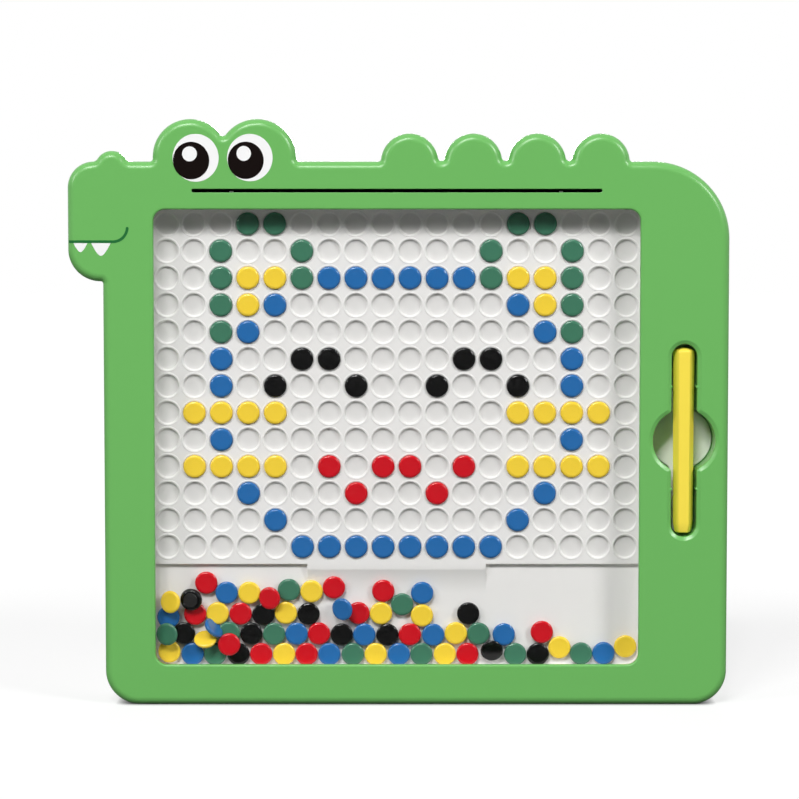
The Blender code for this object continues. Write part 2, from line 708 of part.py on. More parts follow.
def build_tray():
    middle = (GRID_X, CHAMBER_MIDDLE)
    outer = rounded_box(
        middle,
        CHAMBER_WIDTH + 2 * TRAY_WALL,
        CHAMBER_TALL + 2 * TRAY_WALL,
        TRAY_CORNER_RADIUS + TRAY_WALL,
    )
    chamber = rounded_box(middle, CHAMBER_WIDTH, CHAMBER_TALL, TRAY_CORNER_RADIUS)
    stations = [(0, TRAY_BACK), (0, TRAY_FRONT), (-TRAY_WALL, TRAY_FRONT), (-TRAY_WALL, PANEL_FRONT)]
    tray = add_part("well_tray", loft("well_tray", outer, stations), "white_tray")

    reservoir = [point for point in chamber if point[0].y < LEDGE_HEIGHT]
    half = CHAMBER_WIDTH / 2
    reservoir += [(Vector((GRID_X + side * half, LEDGE_HEIGHT)), Vector((side, 0))) for side in (1, -1)]
    cutter = prism("reservoir_cutter", reservoir, PANEL_FRONT - OVERRUN, RESERVOIR_FLOOR)
    cut(tray, "reservoir_cutter", cutter)
    join(tray, "ramp", ramp())
    sheet_low = LEDGE_HEIGHT + TRAY_WALL
    sheet_middle = (GRID_X, (sheet_low + CHAMBER_TOP) / 2)
    sheet_tall = CHAMBER_TOP - sheet_low
    pocket = rounded_box(sheet_middle, CHAMBER_WIDTH, sheet_tall, TRAY_CORNER_RADIUS)
    cut(tray, "sheet_pocket", prism("sheet_pocket", pocket, PANEL_BACK, TRAY_BACK + OVERRUN))
    combine(tray, well_cutter(), "DIFFERENCE")
    sheet = rounded_box(
        sheet_middle,
        CHAMBER_WIDTH - 2 * SHEET_CLEARANCE,
        sheet_tall - 2 * SHEET_CLEARANCE,
        TRAY_CORNER_RADIUS - SHEET_CLEARANCE,
    )
    sheet_mesh = prism("magnetic_sheet", sheet, SHEET_FRONT, SHEET_BACK)
    add_part("magnetic_sheet", sheet_mesh, "magnetic_rubber")


def ramp():
    """A wedge along X that leads from the reservoir's floor up to the wells."""
    below = RESERVOIR_FLOOR + RESERVOIR_THICKNESS / 2
    profile = [
        (PANEL_FRONT, LEDGE_HEIGHT),
        (RESERVOIR_FLOOR, LEDGE_HEIGHT - RAMP_RUN),
        (below, LEDGE_HEIGHT - RAMP_RUN),
        (below, LEDGE_HEIGHT + OVERRUN),
        (PANEL_FRONT, LEDGE_HEIGHT + OVERRUN),
    ]
    bm = bmesh.new()
    face = bm.faces.new([bm.verts.new((GRID_X - RAMP_WIDTH / 2, y, z)) for y, z in profile])
    grown = bmesh.ops.extrude_face_region(bm, geom=[face])["geom"]
    moved = [item for item in grown if isinstance(item, bmesh.types.BMVert)]
    bmesh.ops.translate(bm, verts=moved, vec=(RAMP_WIDTH, 0, 0))
    bmesh.ops.recalc_face_normals(bm, faces=bm.faces)
    mesh = bpy.data.meshes.new("ramp")
    bm.to_mesh(mesh)
    bm.free()
    return mesh


# Back cover


def cover_ribs():
    """Crossing ribs that press the sheet and the tray forward: upright ones, then level ones."""
    far = COVER_FRONT + ROOT_OVERLAP
    half = RIB_THICKNESS / 2
    low, high = TRAY_BOTTOM, TRAY_TOP
    upright = []
    for share in RIB_SHARES:
        x = WINDOW_X + share * WINDOW_WIDTH
        upright.append(((x - half, SHEET_BACK + GAP, low), (x + half, far, high)))
    level = []
    for share in RIB_SHARES:
        z = WINDOW_MIDDLE + share * WINDOW_HEIGHT
        start = (TRAY_LEFT, SHEET_BACK + GAP, z - half)
        level.append((start, (TRAY_RIGHT, far, z + half)))
    return upright, level


def build_back_cover():
    inset = SHELL_WALL + GAP
    stations = [(-inset, COVER_FRONT), (-inset, BACK)]
    cover = add_part("back_cover", loft("back_cover", board_outline(), stations), "white_cover")
    places = screw_places()
    sink_front = COVER_FRONT - SINK_DEPTH
    head_clearance = SCREW_HEAD_DIAMETER / 2 + GAP
    cup_radius = head_clearance + SINK_WALL
    join(
        cover,
        "screw_sinks",
        rods(
            "screw_sinks", places, cup_radius, sink_front, COVER_FRONT + ROOT_OVERLAP, BOSS_SIDES
        ),
    )
    upright, level = cover_ribs()
    join(cover, "upright_ribs", boxes("upright_ribs", upright))
    join(cover, "level_ribs", boxes("level_ribs", level))
    join(cover, "pen_cradles", boxes("pen_cradles", pen_cradles()))
    seat = sink_front + SINK_FLOOR
    head_sinks = rods("head_sinks", places, head_clearance, seat, BACK + OVERRUN, BOSS_SIDES)
    cut(cover, "head_sinks", head_sinks)
    hole = SCREW_SHANK_DIAMETER / 2 + GAP
    holes = rods("shank_holes", places, hole, sink_front - OVERRUN, seat + OVERRUN, SCREW_SIDES)
    cut(cover, "shank_holes", holes)
    build_screws(places, seat)


def pen_cradles():
    """Two posts on the back cover that carry the pen, above and below the finger hollow."""
    pen_back = PEN_Y + PEN_ACROSS_FLATS / 2
    posts = []
    for side in (-1, 1):
        z = PEN_MIDDLE + side * CRADLE_SPACING / 2
        low = (PEN_X - CRADLE_WIDTH / 2, pen_back + GAP, z - CRADLE_LENGTH / 2)
        high = (PEN_X + CRADLE_WIDTH / 2, COVER_FRONT + ROOT_OVERLAP, z + CRADLE_LENGTH / 2)
        posts.append((low, high))
    return posts


def build_screws(places, seat):
    head, shank = SCREW_HEAD_DIAMETER / 2, SCREW_SHANK_DIAMETER / 2
    edge = SCREW_HEAD_HEIGHT / 2
    profile = [
        (0, SCREW_HEAD_HEIGHT),
        (head - edge, SCREW_HEAD_HEIGHT),
        (head, SCREW_HEAD_HEIGHT - edge),
        (head, 0),
        (shank, 0),
        (shank, shank - SCREW_SHANK_LENGTH),
        (0, -SCREW_SHANK_LENGTH),
    ]
    for number, (x, z) in enumerate(places, start=1):
        screw = turned(
            f"case_screw_{number}", profile, SCREW_SIDES, "screw_steel", (x, seat + GAP, z)
        )
        screw.rotation_euler.x = radians(-90)


# Pen


def build_pen():
    half = PEN_WIDTH / 2
    nose, foot = PEN_NOSE_WIDTH / 2, PEN_FOOT_WIDTH / 2
    profile = [
        (0, PEN_LENGTH),
        (PEN_CROWN_WIDTH / 2, PEN_LENGTH),
        (half, PEN_LENGTH - PEN_CROWN_LENGTH),
        (foot, PEN_NOSE_LENGTH),
        (nose, PEN_END_RADIUS),
        (nose - PEN_END_RADIUS, 0),
        (0, 0),
    ]
    pen = turned("pen_barrel", profile, PEN_SIDES, "yellow_pen", (PEN_X, PEN_Y, PEN_FOOT))
    bevel = pen.modifiers.new("soft_edges", "BEVEL")
    bevel.width = PEN_EDGE_RADIUS
    bevel.segments = 2
    bevel.limit_method = "ANGLE"
    bevel.angle_limit = radians(35)
    bore = MAGNET_DIAMETER / 2 + GAP
    depth = PLUG_LENGTH + MAGNET_LENGTH + 2 * GAP
    bm = bmesh.new()
    made = bmesh.ops.create_cone(
        bm,
        cap_ends=True,
        segments=BOSS_SIDES,
        radius1=bore,
        radius2=bore,
        depth=depth + OVERRUN,
    )["verts"]
    middle = PEN_FOOT + (depth - OVERRUN) / 2
    bmesh.ops.translate(bm, verts=made, vec=(PEN_X, PEN_Y, middle))
    mesh = bpy.data.meshes.new("magnet_bore")
    bm.to_mesh(mesh)
    bm.free()
    cut(pen, "magnet_bore", mesh)
    radius = MAGNET_DIAMETER / 2
    plug = [(0, PLUG_LENGTH), (radius, PLUG_LENGTH), (radius, 0), (0, 0)]
    turned("pen_plug", plug, BOSS_SIDES, "yellow_pen", (PEN_X, PEN_Y, PEN_FOOT), pen)
    magnet = [(0, MAGNET_LENGTH), (radius, MAGNET_LENGTH), (radius, 0), (0, 0)]
    start = (PEN_X, PEN_Y, PEN_FOOT + PLUG_LENGTH + GAP)
    turned("pen_magnet", magnet, BOSS_SIDES, "magnet_steel", start, pen)


# Discs


def well_place(column, row):
    return GRID_LEFT + column * WELL_PITCH, GRID_TOP - row * WELL_PITCH


def mirrored(wells):
    """Columns and rows of the same wells on both sides of the grid's middle line."""
    half = WELL_COLUMNS // 2
    left = [(half - 1 - out, WELL_ROWS // 2 + down) for out, down in wells]
    return left + [(WELL_COLUMNS - 1 - column, row) for column, row in left]


def build_disc(name, finish, column, row):
    """A plastic cap with its round face to the front, and the steel slug in its back."""
    outer, recess = DISC_DIAMETER / 2, SLUG_DIAMETER / 2 + GAP
    cap = [
        (0, DISC_THICKNESS),
        (outer - DISC_EDGE, DISC_THICKNESS),
        (outer, DISC_THICKNESS - DISC_EDGE),
        (outer, 0),
        (recess, 0),
        (recess, SLUG_RECESS_DEPTH),
        (0, SLUG_RECESS_DEPTH),
    ]
    x, z = well_place(column, row)
    disc = turned(name, cap, DISC_SIDES, finish, (x, DISC_BACK, z))
    disc.rotation_euler.x = radians(90)
    top = SLUG_RECESS_DEPTH - GAP
    slug_radius = SLUG_DIAMETER / 2
    slug = [
        (0, top),
        (slug_radius, top),
        (slug_radius, top - SLUG_THICKNESS),
        (0, top - SLUG_THICKNESS),
    ]
    turned(f"{name}_slug", slug, DISC_SIDES, "screw_steel", (x, DISC_BACK, z), disc)


def build_discs():
    for number, (column, row) in enumerate(mirrored(EYE_WELLS), start=1):
        build_disc(f"eye_disc_{number}", "black_disc", column, row)
    for number, (column, row) in enumerate(mirrored(MOUTH_WELLS), start=1):
        build_disc(f"mouth_disc_{number}", "red_disc", column, row)


clear_scene()
PARTS = make_collection("magnetic_drawing_board")
TOOLS = make_collection("cutters")
build_front_shell()
build_pane()
build_tray()
build_back_cover()
build_pen()
build_discs()
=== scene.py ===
"""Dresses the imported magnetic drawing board: smooth shapes, materials, loose discs, light and camera.

Metres, X to the right, Y to the back and Z up, as in the CAD. The sizes repeat those of the
part's source, and everything rides on the CAD bodies. Pieces that keep their CAD shape get a
material, and the others are made again here with round edges and full detail.
"""

from math import atan2, ceil, cos, degrees, hypot, pi, radians, sin, sqrt

import bmesh
import bpy
from mathutils import Matrix, Vector


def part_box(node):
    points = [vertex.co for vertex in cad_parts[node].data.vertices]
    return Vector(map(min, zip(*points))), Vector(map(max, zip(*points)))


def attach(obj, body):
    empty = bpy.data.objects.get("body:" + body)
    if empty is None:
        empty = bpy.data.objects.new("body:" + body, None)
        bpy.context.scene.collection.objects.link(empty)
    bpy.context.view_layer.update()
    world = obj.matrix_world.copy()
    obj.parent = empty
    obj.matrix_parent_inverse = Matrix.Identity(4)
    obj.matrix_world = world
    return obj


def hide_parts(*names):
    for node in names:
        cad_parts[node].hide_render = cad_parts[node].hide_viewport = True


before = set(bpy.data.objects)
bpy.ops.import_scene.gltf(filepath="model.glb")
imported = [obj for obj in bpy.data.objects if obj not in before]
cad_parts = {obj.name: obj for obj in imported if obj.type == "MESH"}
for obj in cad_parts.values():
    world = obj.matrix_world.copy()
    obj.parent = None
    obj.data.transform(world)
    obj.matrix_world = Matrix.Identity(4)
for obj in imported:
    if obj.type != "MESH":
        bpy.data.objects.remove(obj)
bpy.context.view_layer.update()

# Sizes of the board, as in the part's source
OVERALL_WIDTH = 0.318
BOARD_DEPTH = 0.025
BACK_HEIGHT = 0.2628
FRONT_EDGE_RADIUS = 0.004
SIDE_CORNER_RADIUS = 0.0165
SHOULDER_RADIUS = 0.037
SNOUT_OVERHANG = 0.0167
SNOUT_TOP_RADIUS = 0.0125
SNOUT_HEIGHT = 0.0575
CHIN_FILLET = 0.0012
NOSTRIL_FROM_TIP = 0.0212
NOSTRIL_RADIUS = 0.008
NOSTRIL_RISE = 0.0051
NOSTRIL_FILLET = 0.003
LEFT_EYE_FROM_TIP = 0.0589
LEFT_EYE_RADIUS = 0.018
RIGHT_EYE_FROM_TIP = 0.091
RIGHT_EYE_RADIUS = 0.0189
EYE_RISE = 0.0203
EYE_FILLET = 0.0016
HUMP_RADIUS = 0.0138
HUMP_RISE = 0.0134
HUMP_GAP = 0.00305
HUMP_VALLEY_RISE = 0.0004
HUMP_FILLET = 0.0014
LAST_HUMP_FROM_EDGE = 0.0619
HUMP_COUNT = 4
SHELL_WALL = 0.0022
GAP = 0.0003
OVERRUN = 0.001
LEFT_RAIL = 0.0245
RIGHT_RAIL = 0.043
TOP_RAIL = 0.023
WINDOW_SILL = 0.0197
WINDOW_CORNER_RADIUS = 0.0055
WINDOW_EDGE_RADIUS = 0.001
PANE_THICKNESS = 0.0015
WELL_PITCH = 0.0131
WELL_DEPTH = 0.002
GRID_SHIFT = -0.0002
PANEL_SETBACK = 0.013
PANEL_THICKNESS = 0.0031
TRAY_WALL = 0.0016
TRAY_CORNER_RADIUS = 0.009
TRAY_SIDE_LAP = 0.00245
TRAY_TOP_LAP = 0.0011
TRAY_SILL_LAP = 0.0024
TOP_WELL_BORDER = 0.00145
WELL_COLUMNS = 18
WELL_ROWS = 13
WELL_MOUTH = 0.0062
LEDGE_DROP = 0.0024
RAMP_WIDTH = 0.0871
SLOT_INSET = 0.01845
SLOT_OPENING = 0.0017
SLOT_ABOVE_WINDOW = 0.009
SLOT_DEPTH = 0.014
SLOT_WALL = 0.0016
PEN_FROM_EDGE = 0.0214
PEN_BELOW_MIDDLE = 0.0012
PEN_LENGTH = 0.0897
PEN_WIDTH = 0.0106
PEN_FOOT_WIDTH = 0.0098
PEN_NOSE_LENGTH = 0.0052
PEN_NOSE_WIDTH = 0.0082
PEN_SETBACK = 0.0008
RECESS_CLEARANCE = 0.0009
RECESS_END_CLEARANCE = 0.0018
RECESS_FLARE = 0.00185
RECESS_FLARE_DEPTH = 0.001
RECESS_FLARE_SOFTNESS = 0.00025
RECESS_WALL = 0.0018
RECESS_FILLET = 0.0022
FINGER_HOLLOW_DIAMETER = 0.0302
CLIP_RADIUS = 0.00065
CLIP_SPACING = 0.0495
CLIP_RISE = 0.0013
CLIP_LENGTH = 0.008
MAGNET_DIAMETER = 0.005
MAGNET_LENGTH = 0.008
PLUG_LENGTH = 0.0025
CRADLE_LENGTH = 0.006
CRADLE_WIDTH = 0.0034
CRADLE_SPACING = 0.066
DISC_DIAMETER = 0.011
DISC_THICKNESS = 0.0032
SLUG_DIAMETER = 0.007
SLUG_RECESS_DEPTH = 0.0019
SCREW_HEAD_DIAMETER = 0.0052
SCREW_HEAD_HEIGHT = 0.0016
SCREW_SHANK_DIAMETER = 0.0026
SCREW_SHANK_LENGTH = 0.0085
SINK_DEPTH = 0.0042
SINK_FLOOR = 0.0016
SINK_WALL = 0.0012
SCREW_EDGE_MARGIN = 0.0055
COVER_THICKNESS = 0.0024

# What the photograph shows and the part's source lacks: the raised floor of the cover inside the
# pen's recess, which makes the finger hollow bright, and the places of two low ribs in the slot
HOLLOW_FLOOR_RISE = 0.0075
SLOT_RIBS = (-0.0803, 0.0779)
SLOT_RIB_WIDTH = 0.0018

# Places worked out from the sizes above
RIGHT = OVERALL_WIDTH / 2
LEFT = -RIGHT
NECK = LEFT + SNOUT_OVERHANG
FRONT = -BOARD_DEPTH / 2
BACK = BOARD_DEPTH / 2
CHIN_HEIGHT = BACK_HEIGHT - SNOUT_HEIGHT
HUMP_PITCH = 2 * HUMP_RADIUS + HUMP_GAP
HUMP_PLACES = [RIGHT - LAST_HUMP_FROM_EDGE - HUMP_PITCH * i for i in range(HUMP_COUNT)]
SHELL_INSIDE = FRONT + SHELL_WALL
COVER_FRONT = BACK - COVER_THICKNESS
TRAY_FRONT = SHELL_INSIDE + 2 * GAP + PANE_THICKNESS
PANEL_FRONT = FRONT + PANEL_SETBACK
PANEL_BACK = PANEL_FRONT + PANEL_THICKNESS
WELL_FLOOR = PANEL_FRONT + WELL_DEPTH
WINDOW_LEFT = NECK + LEFT_RAIL
WINDOW_RIGHT = RIGHT - RIGHT_RAIL
WINDOW_TOP = BACK_HEIGHT - TOP_RAIL
WINDOW_X = (WINDOW_LEFT + WINDOW_RIGHT) / 2
WINDOW_WIDTH = WINDOW_RIGHT - WINDOW_LEFT
WINDOW_HEIGHT = WINDOW_TOP - WINDOW_SILL
WINDOW_MIDDLE = WINDOW_SILL + WINDOW_HEIGHT / 2
SLOT_HEIGHT = WINDOW_TOP + SLOT_ABOVE_WINDOW
SLOT_WIDTH = WINDOW_WIDTH - 2 * SLOT_INSET
CHAMBER_WIDTH = WINDOW_WIDTH + 2 * TRAY_SIDE_LAP
CHAMBER_TOP = WINDOW_TOP + TRAY_TOP_LAP
TRAY_SILL = WINDOW_SILL - TRAY_SILL_LAP
CHAMBER_MIDDLE = (TRAY_SILL + CHAMBER_TOP) / 2
CHAMBER_TALL = CHAMBER_TOP - TRAY_SILL
GRID_X = WINDOW_X + GRID_SHIFT
GRID_LEFT = GRID_X - (WELL_COLUMNS - 1) * WELL_PITCH / 2
GRID_TOP = CHAMBER_TOP - TOP_WELL_BORDER - WELL_PITCH / 2
GRID_BOTTOM = GRID_TOP - (WELL_ROWS - 1) * WELL_PITCH
LEDGE_HEIGHT = GRID_BOTTOM - WELL_MOUTH - LEDGE_DROP
PEN_ACROSS_FLATS = PEN_WIDTH * cos(pi / 6)
PEN_Y = FRONT + PEN_SETBACK + PEN_ACROSS_FLATS / 2
PEN_X = RIGHT - PEN_FROM_EDGE
PEN_MIDDLE = WINDOW_MIDDLE - PEN_BELOW_MIDDLE
PEN_FOOT = PEN_MIDDLE - PEN_LENGTH / 2
PEN_TOP = PEN_MIDDLE + PEN_LENGTH / 2
RECESS_HALF = PEN_WIDTH / 2 + RECESS_CLEARANCE
DISC_BACK = WELL_FLOOR - GAP

# Fineness and softness of what is made again here
ARC_SEGMENT = 0.0012
ARC_ANGLE = 12
EDGE_STEPS = 8
BACK_EDGE_RADIUS = 0.0007
COVER_EDGE_RADIUS = 0.0005
OVAL_SIDES = 96
SCREW_THREADS = 12
SHARP_ANGLE = radians(38)

# Name that Blender's weighted normals read their marked faces from
FLAT_MARKS = "__mod_weightednormals_faceweight"

# Pen: its edges' radius, the rounding of its two ends, and the radius of its domed top
PEN_CORNER = 0.0009
PEN_FOOT_ROUND = 0.0009
PEN_TOP_ROUND = 0.0007
PEN_DOME_RADIUS = 0.0091

# Wells: radius and depth behind the panel, over the wide raised lip and down a short wall to a
# bowl-shaped floor
WELL_SIDES = 24
WELL_SECTION = (
    (0.00654, 0), (0.00645, -0.00008), (0.0063, -0.00014), (0.00612, -0.00014),
    (0.0059, -0.00009), (0.0057, 0), (0.00553, 0.00012), (0.00541, 0.00026),
    (0.00533, 0.00045), (0.00528, 0.0008), (0.00515, 0.00098), (0.00485, 0.00113),
    (0.0044, 0.00125), (0.0034, 0.0014), (0.0018, 0.00147),
)

# Painted shade in the wells' floors: the tone it multiplies them by, and the shares of the CAD
# wells' depth between which it sets in
WELL_SHADE_TONE = 0.88
WELL_SHADE_FADE = (0.3, 0.6)

# Step into the reservoir with its round lip and foot, the tongue across its middle that runs out in
# a gentle ramp, and the round foot of the tray's wall
RESERVOIR_STEP = 0.0022
RESERVOIR_FLOOR = PANEL_FRONT + RESERVOIR_STEP
LEDGE_LIP = 0.0003
LEDGE_FOOT = 0.0018
RAMP_LEVEL = 0.0023
RAMP_RUN = 0.012
WALL_FOOT = 0.0009

# Discs: pillow-shaped front, and a back that narrows into the well: radius and height over the
# CAD disc's back, which lies a little deeper
DISC_FACE_RADIUS = 0.004
DISC_FACE_HOLLOW = 0.00006
DISC_FRONT_ROUND = 0.0009
DISC_BACK_RISE = 0.0007
DISC_BACK_SECTION = (
    (0.00546, 0.0021), (0.00538, 0.0019), (0.00528, 0.00165), (0.00515, 0.00138),
    (0.00495, 0.0011), (0.00465, 0.00088), (0.0043, 0.00074), (0.00395, DISC_BACK_RISE),
)
DISC_SIDES = 48

# Floor: half its width, how much of the shadow the camera sees near the board and the distances
# between which that fades, the paper's tone to the camera and to the board, the reach of the
# painted contact shadow, and the strength of the white
FLOOR_REACH = 6
SHADOW_SHARE = 0.33
SHADOW_FADE = (0.3, 0.7)
PAPER_WHITE = 0.98
FLOOR_BOUNCE = 0.18
CONTACT_SHADE_REACH = 0.004
FLOOR_GLOW = 1.05

# Light of the white walls behind the board, the share of it and of their gloss that is left on the
# side of the lens, and the cosines of the angle to the lens between which each of them fades
WALL_LIGHT = 0.5
LENS_SIDE_SHARE = 0.06
GLOSS_FADE = (-0.1, 0.5)
LIGHT_FADE = (-0.9, -0.2)

# Square lamps: degrees to the right and up as seen from the board, width in metres, and watts
LAMP_TARGET = (0, 0, 0.14)
LAMP_DISTANCE = 4
LAMPS = (
    ("key", (-20, 40), 0.93, 64),
    ("high", (-5, 50), 0.93, 22),
    ("spark", (-6, 44), 0.2, 25),
    ("left", (-55, 22), 0.93, 41),
    ("right", (50, 28), 0.93, 70),
    ("back", (178, 6), 0.93, 70),
)

# Camera: focal length in millimetres, place, and degrees up from looking straight down
CAMERA_LENS = 127.04
CAMERA_PLACE = (0.00034, -1.3666, 0.2432)
CAMERA_TILT = 86.002

# Prints on the front face: eyes as X and Z of the middle, width and height, the mouth's line from
# its start to the bend where it curls up, and teeth as left, right, and X and Z of the tip
PRINT_RISE = 0.00006
EYE_LAYERS = (("white", "white_print"), ("pupil", "black_print"), ("glint", "white_print"))
EYES = {
    "left": (
        (-0.09725, 0.2645, 0.0221, 0.0228),
        (-0.0994, 0.2632, 0.0174, 0.0179),
        (-0.10015, 0.2664, 0.0071, 0.0071),
    ),
    "right": (
        (-0.0713, 0.2646, 0.0218, 0.0226),
        (-0.07325, 0.2633, 0.0172, 0.0178),
        (-0.0742, 0.2666, 0.0069, 0.0071),
    ),
}
MOUTH_START = -0.1584
MOUTH_BEND = -0.1371
MOUTH_CURL = 0.0069
MOUTH_HEIGHT = 0.2244
MOUTH_WIDTH = 0.00135
TOOTH_TAPER = 0.28
TEETH = ((-0.1560, -0.1493, -0.1527, 0.2194), (-0.1475, -0.1382, -0.1429, 0.2176))

# Surfaces: depth of skin relief, spread of gloss in a plastic, gloss of ink, and the pane's waves,
# grey, slant and strength of its sheen
RELIEF_DEPTH = 0.0002
GLOSS_SPREAD = 0.02
INK_GLOSS = {"Specular IOR Level": 0.15}
PANE_WAVES = 25
PANE_GREY = (0.3, 0.32, 0.33)
PANE_SLANT = 0.12
PANE_SHEEN = 0.25

# Colours as red, green and blue on the screen's scale
GREEN = (0.432, 0.722, 0.378)
WHITE_TRAY = (0.915, 0.91, 0.9)
WHITE_COVER = (0.96, 0.96, 0.94)
YELLOW_PEN = (0.99, 0.895, 0.31)
PRINT_WHITE = (0.96, 0.96, 0.96)
PRINT_BLACK = (0.07, 0.035, 0.03)
MOUTH_GREEN = (0.137, 0.43, 0.215)
# Near-black painted shade for the deep inside of the card slot
SLOT_SHADE_BLACK = (0.012, 0.012, 0.012)
STEEL = (0.62, 0.62, 0.64)
SLUG_GREY = (0.31, 0.31, 0.31)
RUBBER = (0.12, 0.11, 0.11)
DISC_COLOURS = {
    "red": (0.81, 0.06, 0.12),
    "yellow": (0.97, 0.83, 0.24),
    "blue": (0.148, 0.418, 0.675),
    "green": (0.255, 0.475, 0.375),
    "black": (0.035, 0.035, 0.035),
}


# Materials


def linear(channel):
    """A screen colour value as Blender's linear value."""
    return channel / 12.92 if channel <= 0.04045 else ((channel + 0.055) / 1.055) ** 2.4


def shade(colour, factor=1):
    return [linear(channel) * factor for channel in colour] + [1]


def feed(tree, node, inputs):
    """Gives each input its value, or links it to the output that stands for it."""
    for name, value in inputs.items():
        if isinstance(value, bpy.types.NodeSocket):
            tree.links.new(value, node.inputs[name])
        else:
            node.inputs[name].default_value = value


def add_node(tree, kind, inputs=None, **settings):
    """A new shader node with its settings made and its inputs fed."""
    node = tree.nodes.new(f"ShaderNode{kind}")
    for name, value in settings.items():
        setattr(node, name, value)
    feed(tree, node, inputs or {})
    return node


def map_range(tree, value, source, target, curve="LINEAR"):
    """The value moved from its source range to the target range and kept inside it."""
    ends = zip(("From Min", "From Max", "To Min", "To Max"), (*source, *target))
    inputs = {"Value": value, **dict(ends)}
    return add_node(tree, "MapRange", inputs, interpolation_type=curve).outputs["Result"]


def calculate(tree, operation, *values):
    return add_node(tree, "Math", dict(enumerate(values)), operation=operation).outputs["Value"]


def mix_colours(tree, share, first, second, blend="MIX"):
    inputs = {"Factor": share, "A": first, "B": second}
    return add_node(tree, "Mix", inputs, data_type="RGBA", blend_type=blend).outputs["Result"]


def mix_shaders(tree, share, first, second):
    return add_node(tree, "MixShader", {"Fac": share, 1: first, 2: second}).outputs["Shader"]


def own_place(tree):
    """Coordinates in the object's own space."""
    return add_node(tree, "TexCoord").outputs["Object"]


def noise(tree, scale, detail=2):
    inputs = {"Scale": scale, "Detail": detail, "Vector": own_place(tree)}
    return add_node(tree, "TexNoise", inputs).outputs["Fac"]


def relief_normal(tree, scale, strength):
    """The normals of a skin with fine relief."""
    inputs = {"Strength": strength, "Distance": RELIEF_DEPTH, "Height": noise(tree, scale)}
    return add_node(tree, "Bump", inputs).outputs["Normal"]


def new_material(name):
    """A new material, its node tree and its shader."""
    material = bpy.data.materials.new(name)
    material.use_nodes = True
    return material, material.node_tree, material.node_tree.nodes["Principled BSDF"]


def moulded(name, colour, roughness, grain=1400, relief=0.05, mottle=0.02, patch=60, more=None):
    """Moulded plastic: fine skin relief, and slight shifts of colour and gloss over the surface."""
    material, tree, shader = new_material(name)
    patches = noise(tree, patch, 3)
    tint = mix_colours(tree, patches, shade(colour, 1 - mottle), shade(colour, 1 + mottle))
    gloss = map_range(tree, patches, (0, 1), (roughness - GLOSS_SPREAD, roughness + GLOSS_SPREAD))
    normal = relief_normal(tree, grain, relief)
    feed(tree, shader, {"Base Color": tint, "Roughness": gloss, "Normal": normal, **(more or {})})
    return material


def paint_well_shade(material):
    """Paints shade into the wells' floors, darker where they lie deeper, above the ledge."""
    tree = material.node_tree
    shader = tree.nodes["Principled BSDF"]
    plain = shader.inputs["Base Color"].links[0].from_socket
    axes = add_node(tree, "SeparateXYZ", {"Vector": own_place(tree)}).outputs
    deep = map_range(tree, axes["Y"], [PANEL_FRONT + share * WELL_DEPTH for share in WELL_SHADE_FADE], (0, 1))
    high = calculate(tree, "GREATER_THAN", axes["Z"], LEDGE_HEIGHT)
    both = calculate(tree, "MULTIPLY", deep, high)
    shaded_floor = mix_colours(tree, both, plain, [WELL_SHADE_TONE] * 3 + [1], "MULTIPLY")
    feed(tree, shader, {"Base Color": shaded_floor})


def ink(name, colour, roughness, mottle):
    return moulded(name, colour, roughness, relief=0.03, mottle=mottle, more=INK_GLOSS)


def metal(name, colour, roughness):
    return moulded(name, colour, roughness, 900, 0.08, 0.05, 300, {"Metallic": 1})


def clear_plastic(name):
    """A clear pane: light passes straight through, with a faint sheen that grows at a slant."""
    material, tree, shader = new_material(name)
    waves = relief_normal(tree, PANE_WAVES, 0.05)
    feed(tree, shader, {"Base Color": shade(PANE_GREY), "Roughness": 0.06, "Normal": waves})
    facing = add_node(tree, "LayerWeight", {"Blend": PANE_SLANT}).outputs["Fresnel"]
    share = map_range(tree, facing, (0, 1), (0, PANE_SHEEN))
    through = add_node(tree, "BsdfTransparent").outputs["BSDF"]
    pane = mix_shaders(tree, share, through, shader.outputs["BSDF"])
    feed(tree, tree.nodes["Material Output"], {"Surface": pane})
    return material


MATERIALS = {
    "shell": moulded("green_plastic", GREEN, 0.3, grain=900, relief=0.02, mottle=0.004, patch=18),
    "tray": moulded("white_tray_plastic", WHITE_TRAY, 0.6, grain=1600, relief=0.05),
    "cover": moulded("white_cover_plastic", WHITE_COVER, 0.5, grain=1100, relief=0.12),
    "pen": moulded("yellow_pen_plastic", YELLOW_PEN, 0.3, mottle=0.015, patch=90),
    "white_print": ink("white_print", PRINT_WHITE, 0.4, 0.01),
    "black_print": ink("black_print", PRINT_BLACK, 0.35, 0.05),
    "mouth_print": ink("dark_green_print", MOUTH_GREEN, 0.4, 0.04),
    # The slot's near-black skin is painted shade for its deep inside
    "slot": moulded("slot_painted_shade", SLOT_SHADE_BLACK, 0.9, relief=0.1, mottle=0.1),
    "rubber": moulded("magnetic_rubber_sheet", RUBBER, 0.8, relief=0.3, mottle=0.08, patch=200),
    "pane": clear_plastic("clear_pane_plastic"),
    "steel": metal("screw_zinc", STEEL, 0.32),
    "magnet": metal("magnet_nickel", STEEL, 0.2),
    "slug": metal("slug_steel", SLUG_GREY, 0.45),
}
paint_well_shade(MATERIALS["tray"])
for shade_name, shade_colour in DISC_COLOURS.items():
    name = f"{shade_name}_bead_plastic"
    MATERIALS[shade_name] = moulded(name, shade_colour, 0.2, 1200, 0.03, 0.03, 150)


# Meshes


def new_mesh(name, bm, closed=True):
    """The mesh that was built. A closed one has its faces turned outward."""
    if closed:
        bmesh.ops.recalc_face_normals(bm, faces=bm.faces)
    mesh = bpy.data.meshes.new(name)
    bm.to_mesh(mesh)
    bm.free()
    return mesh


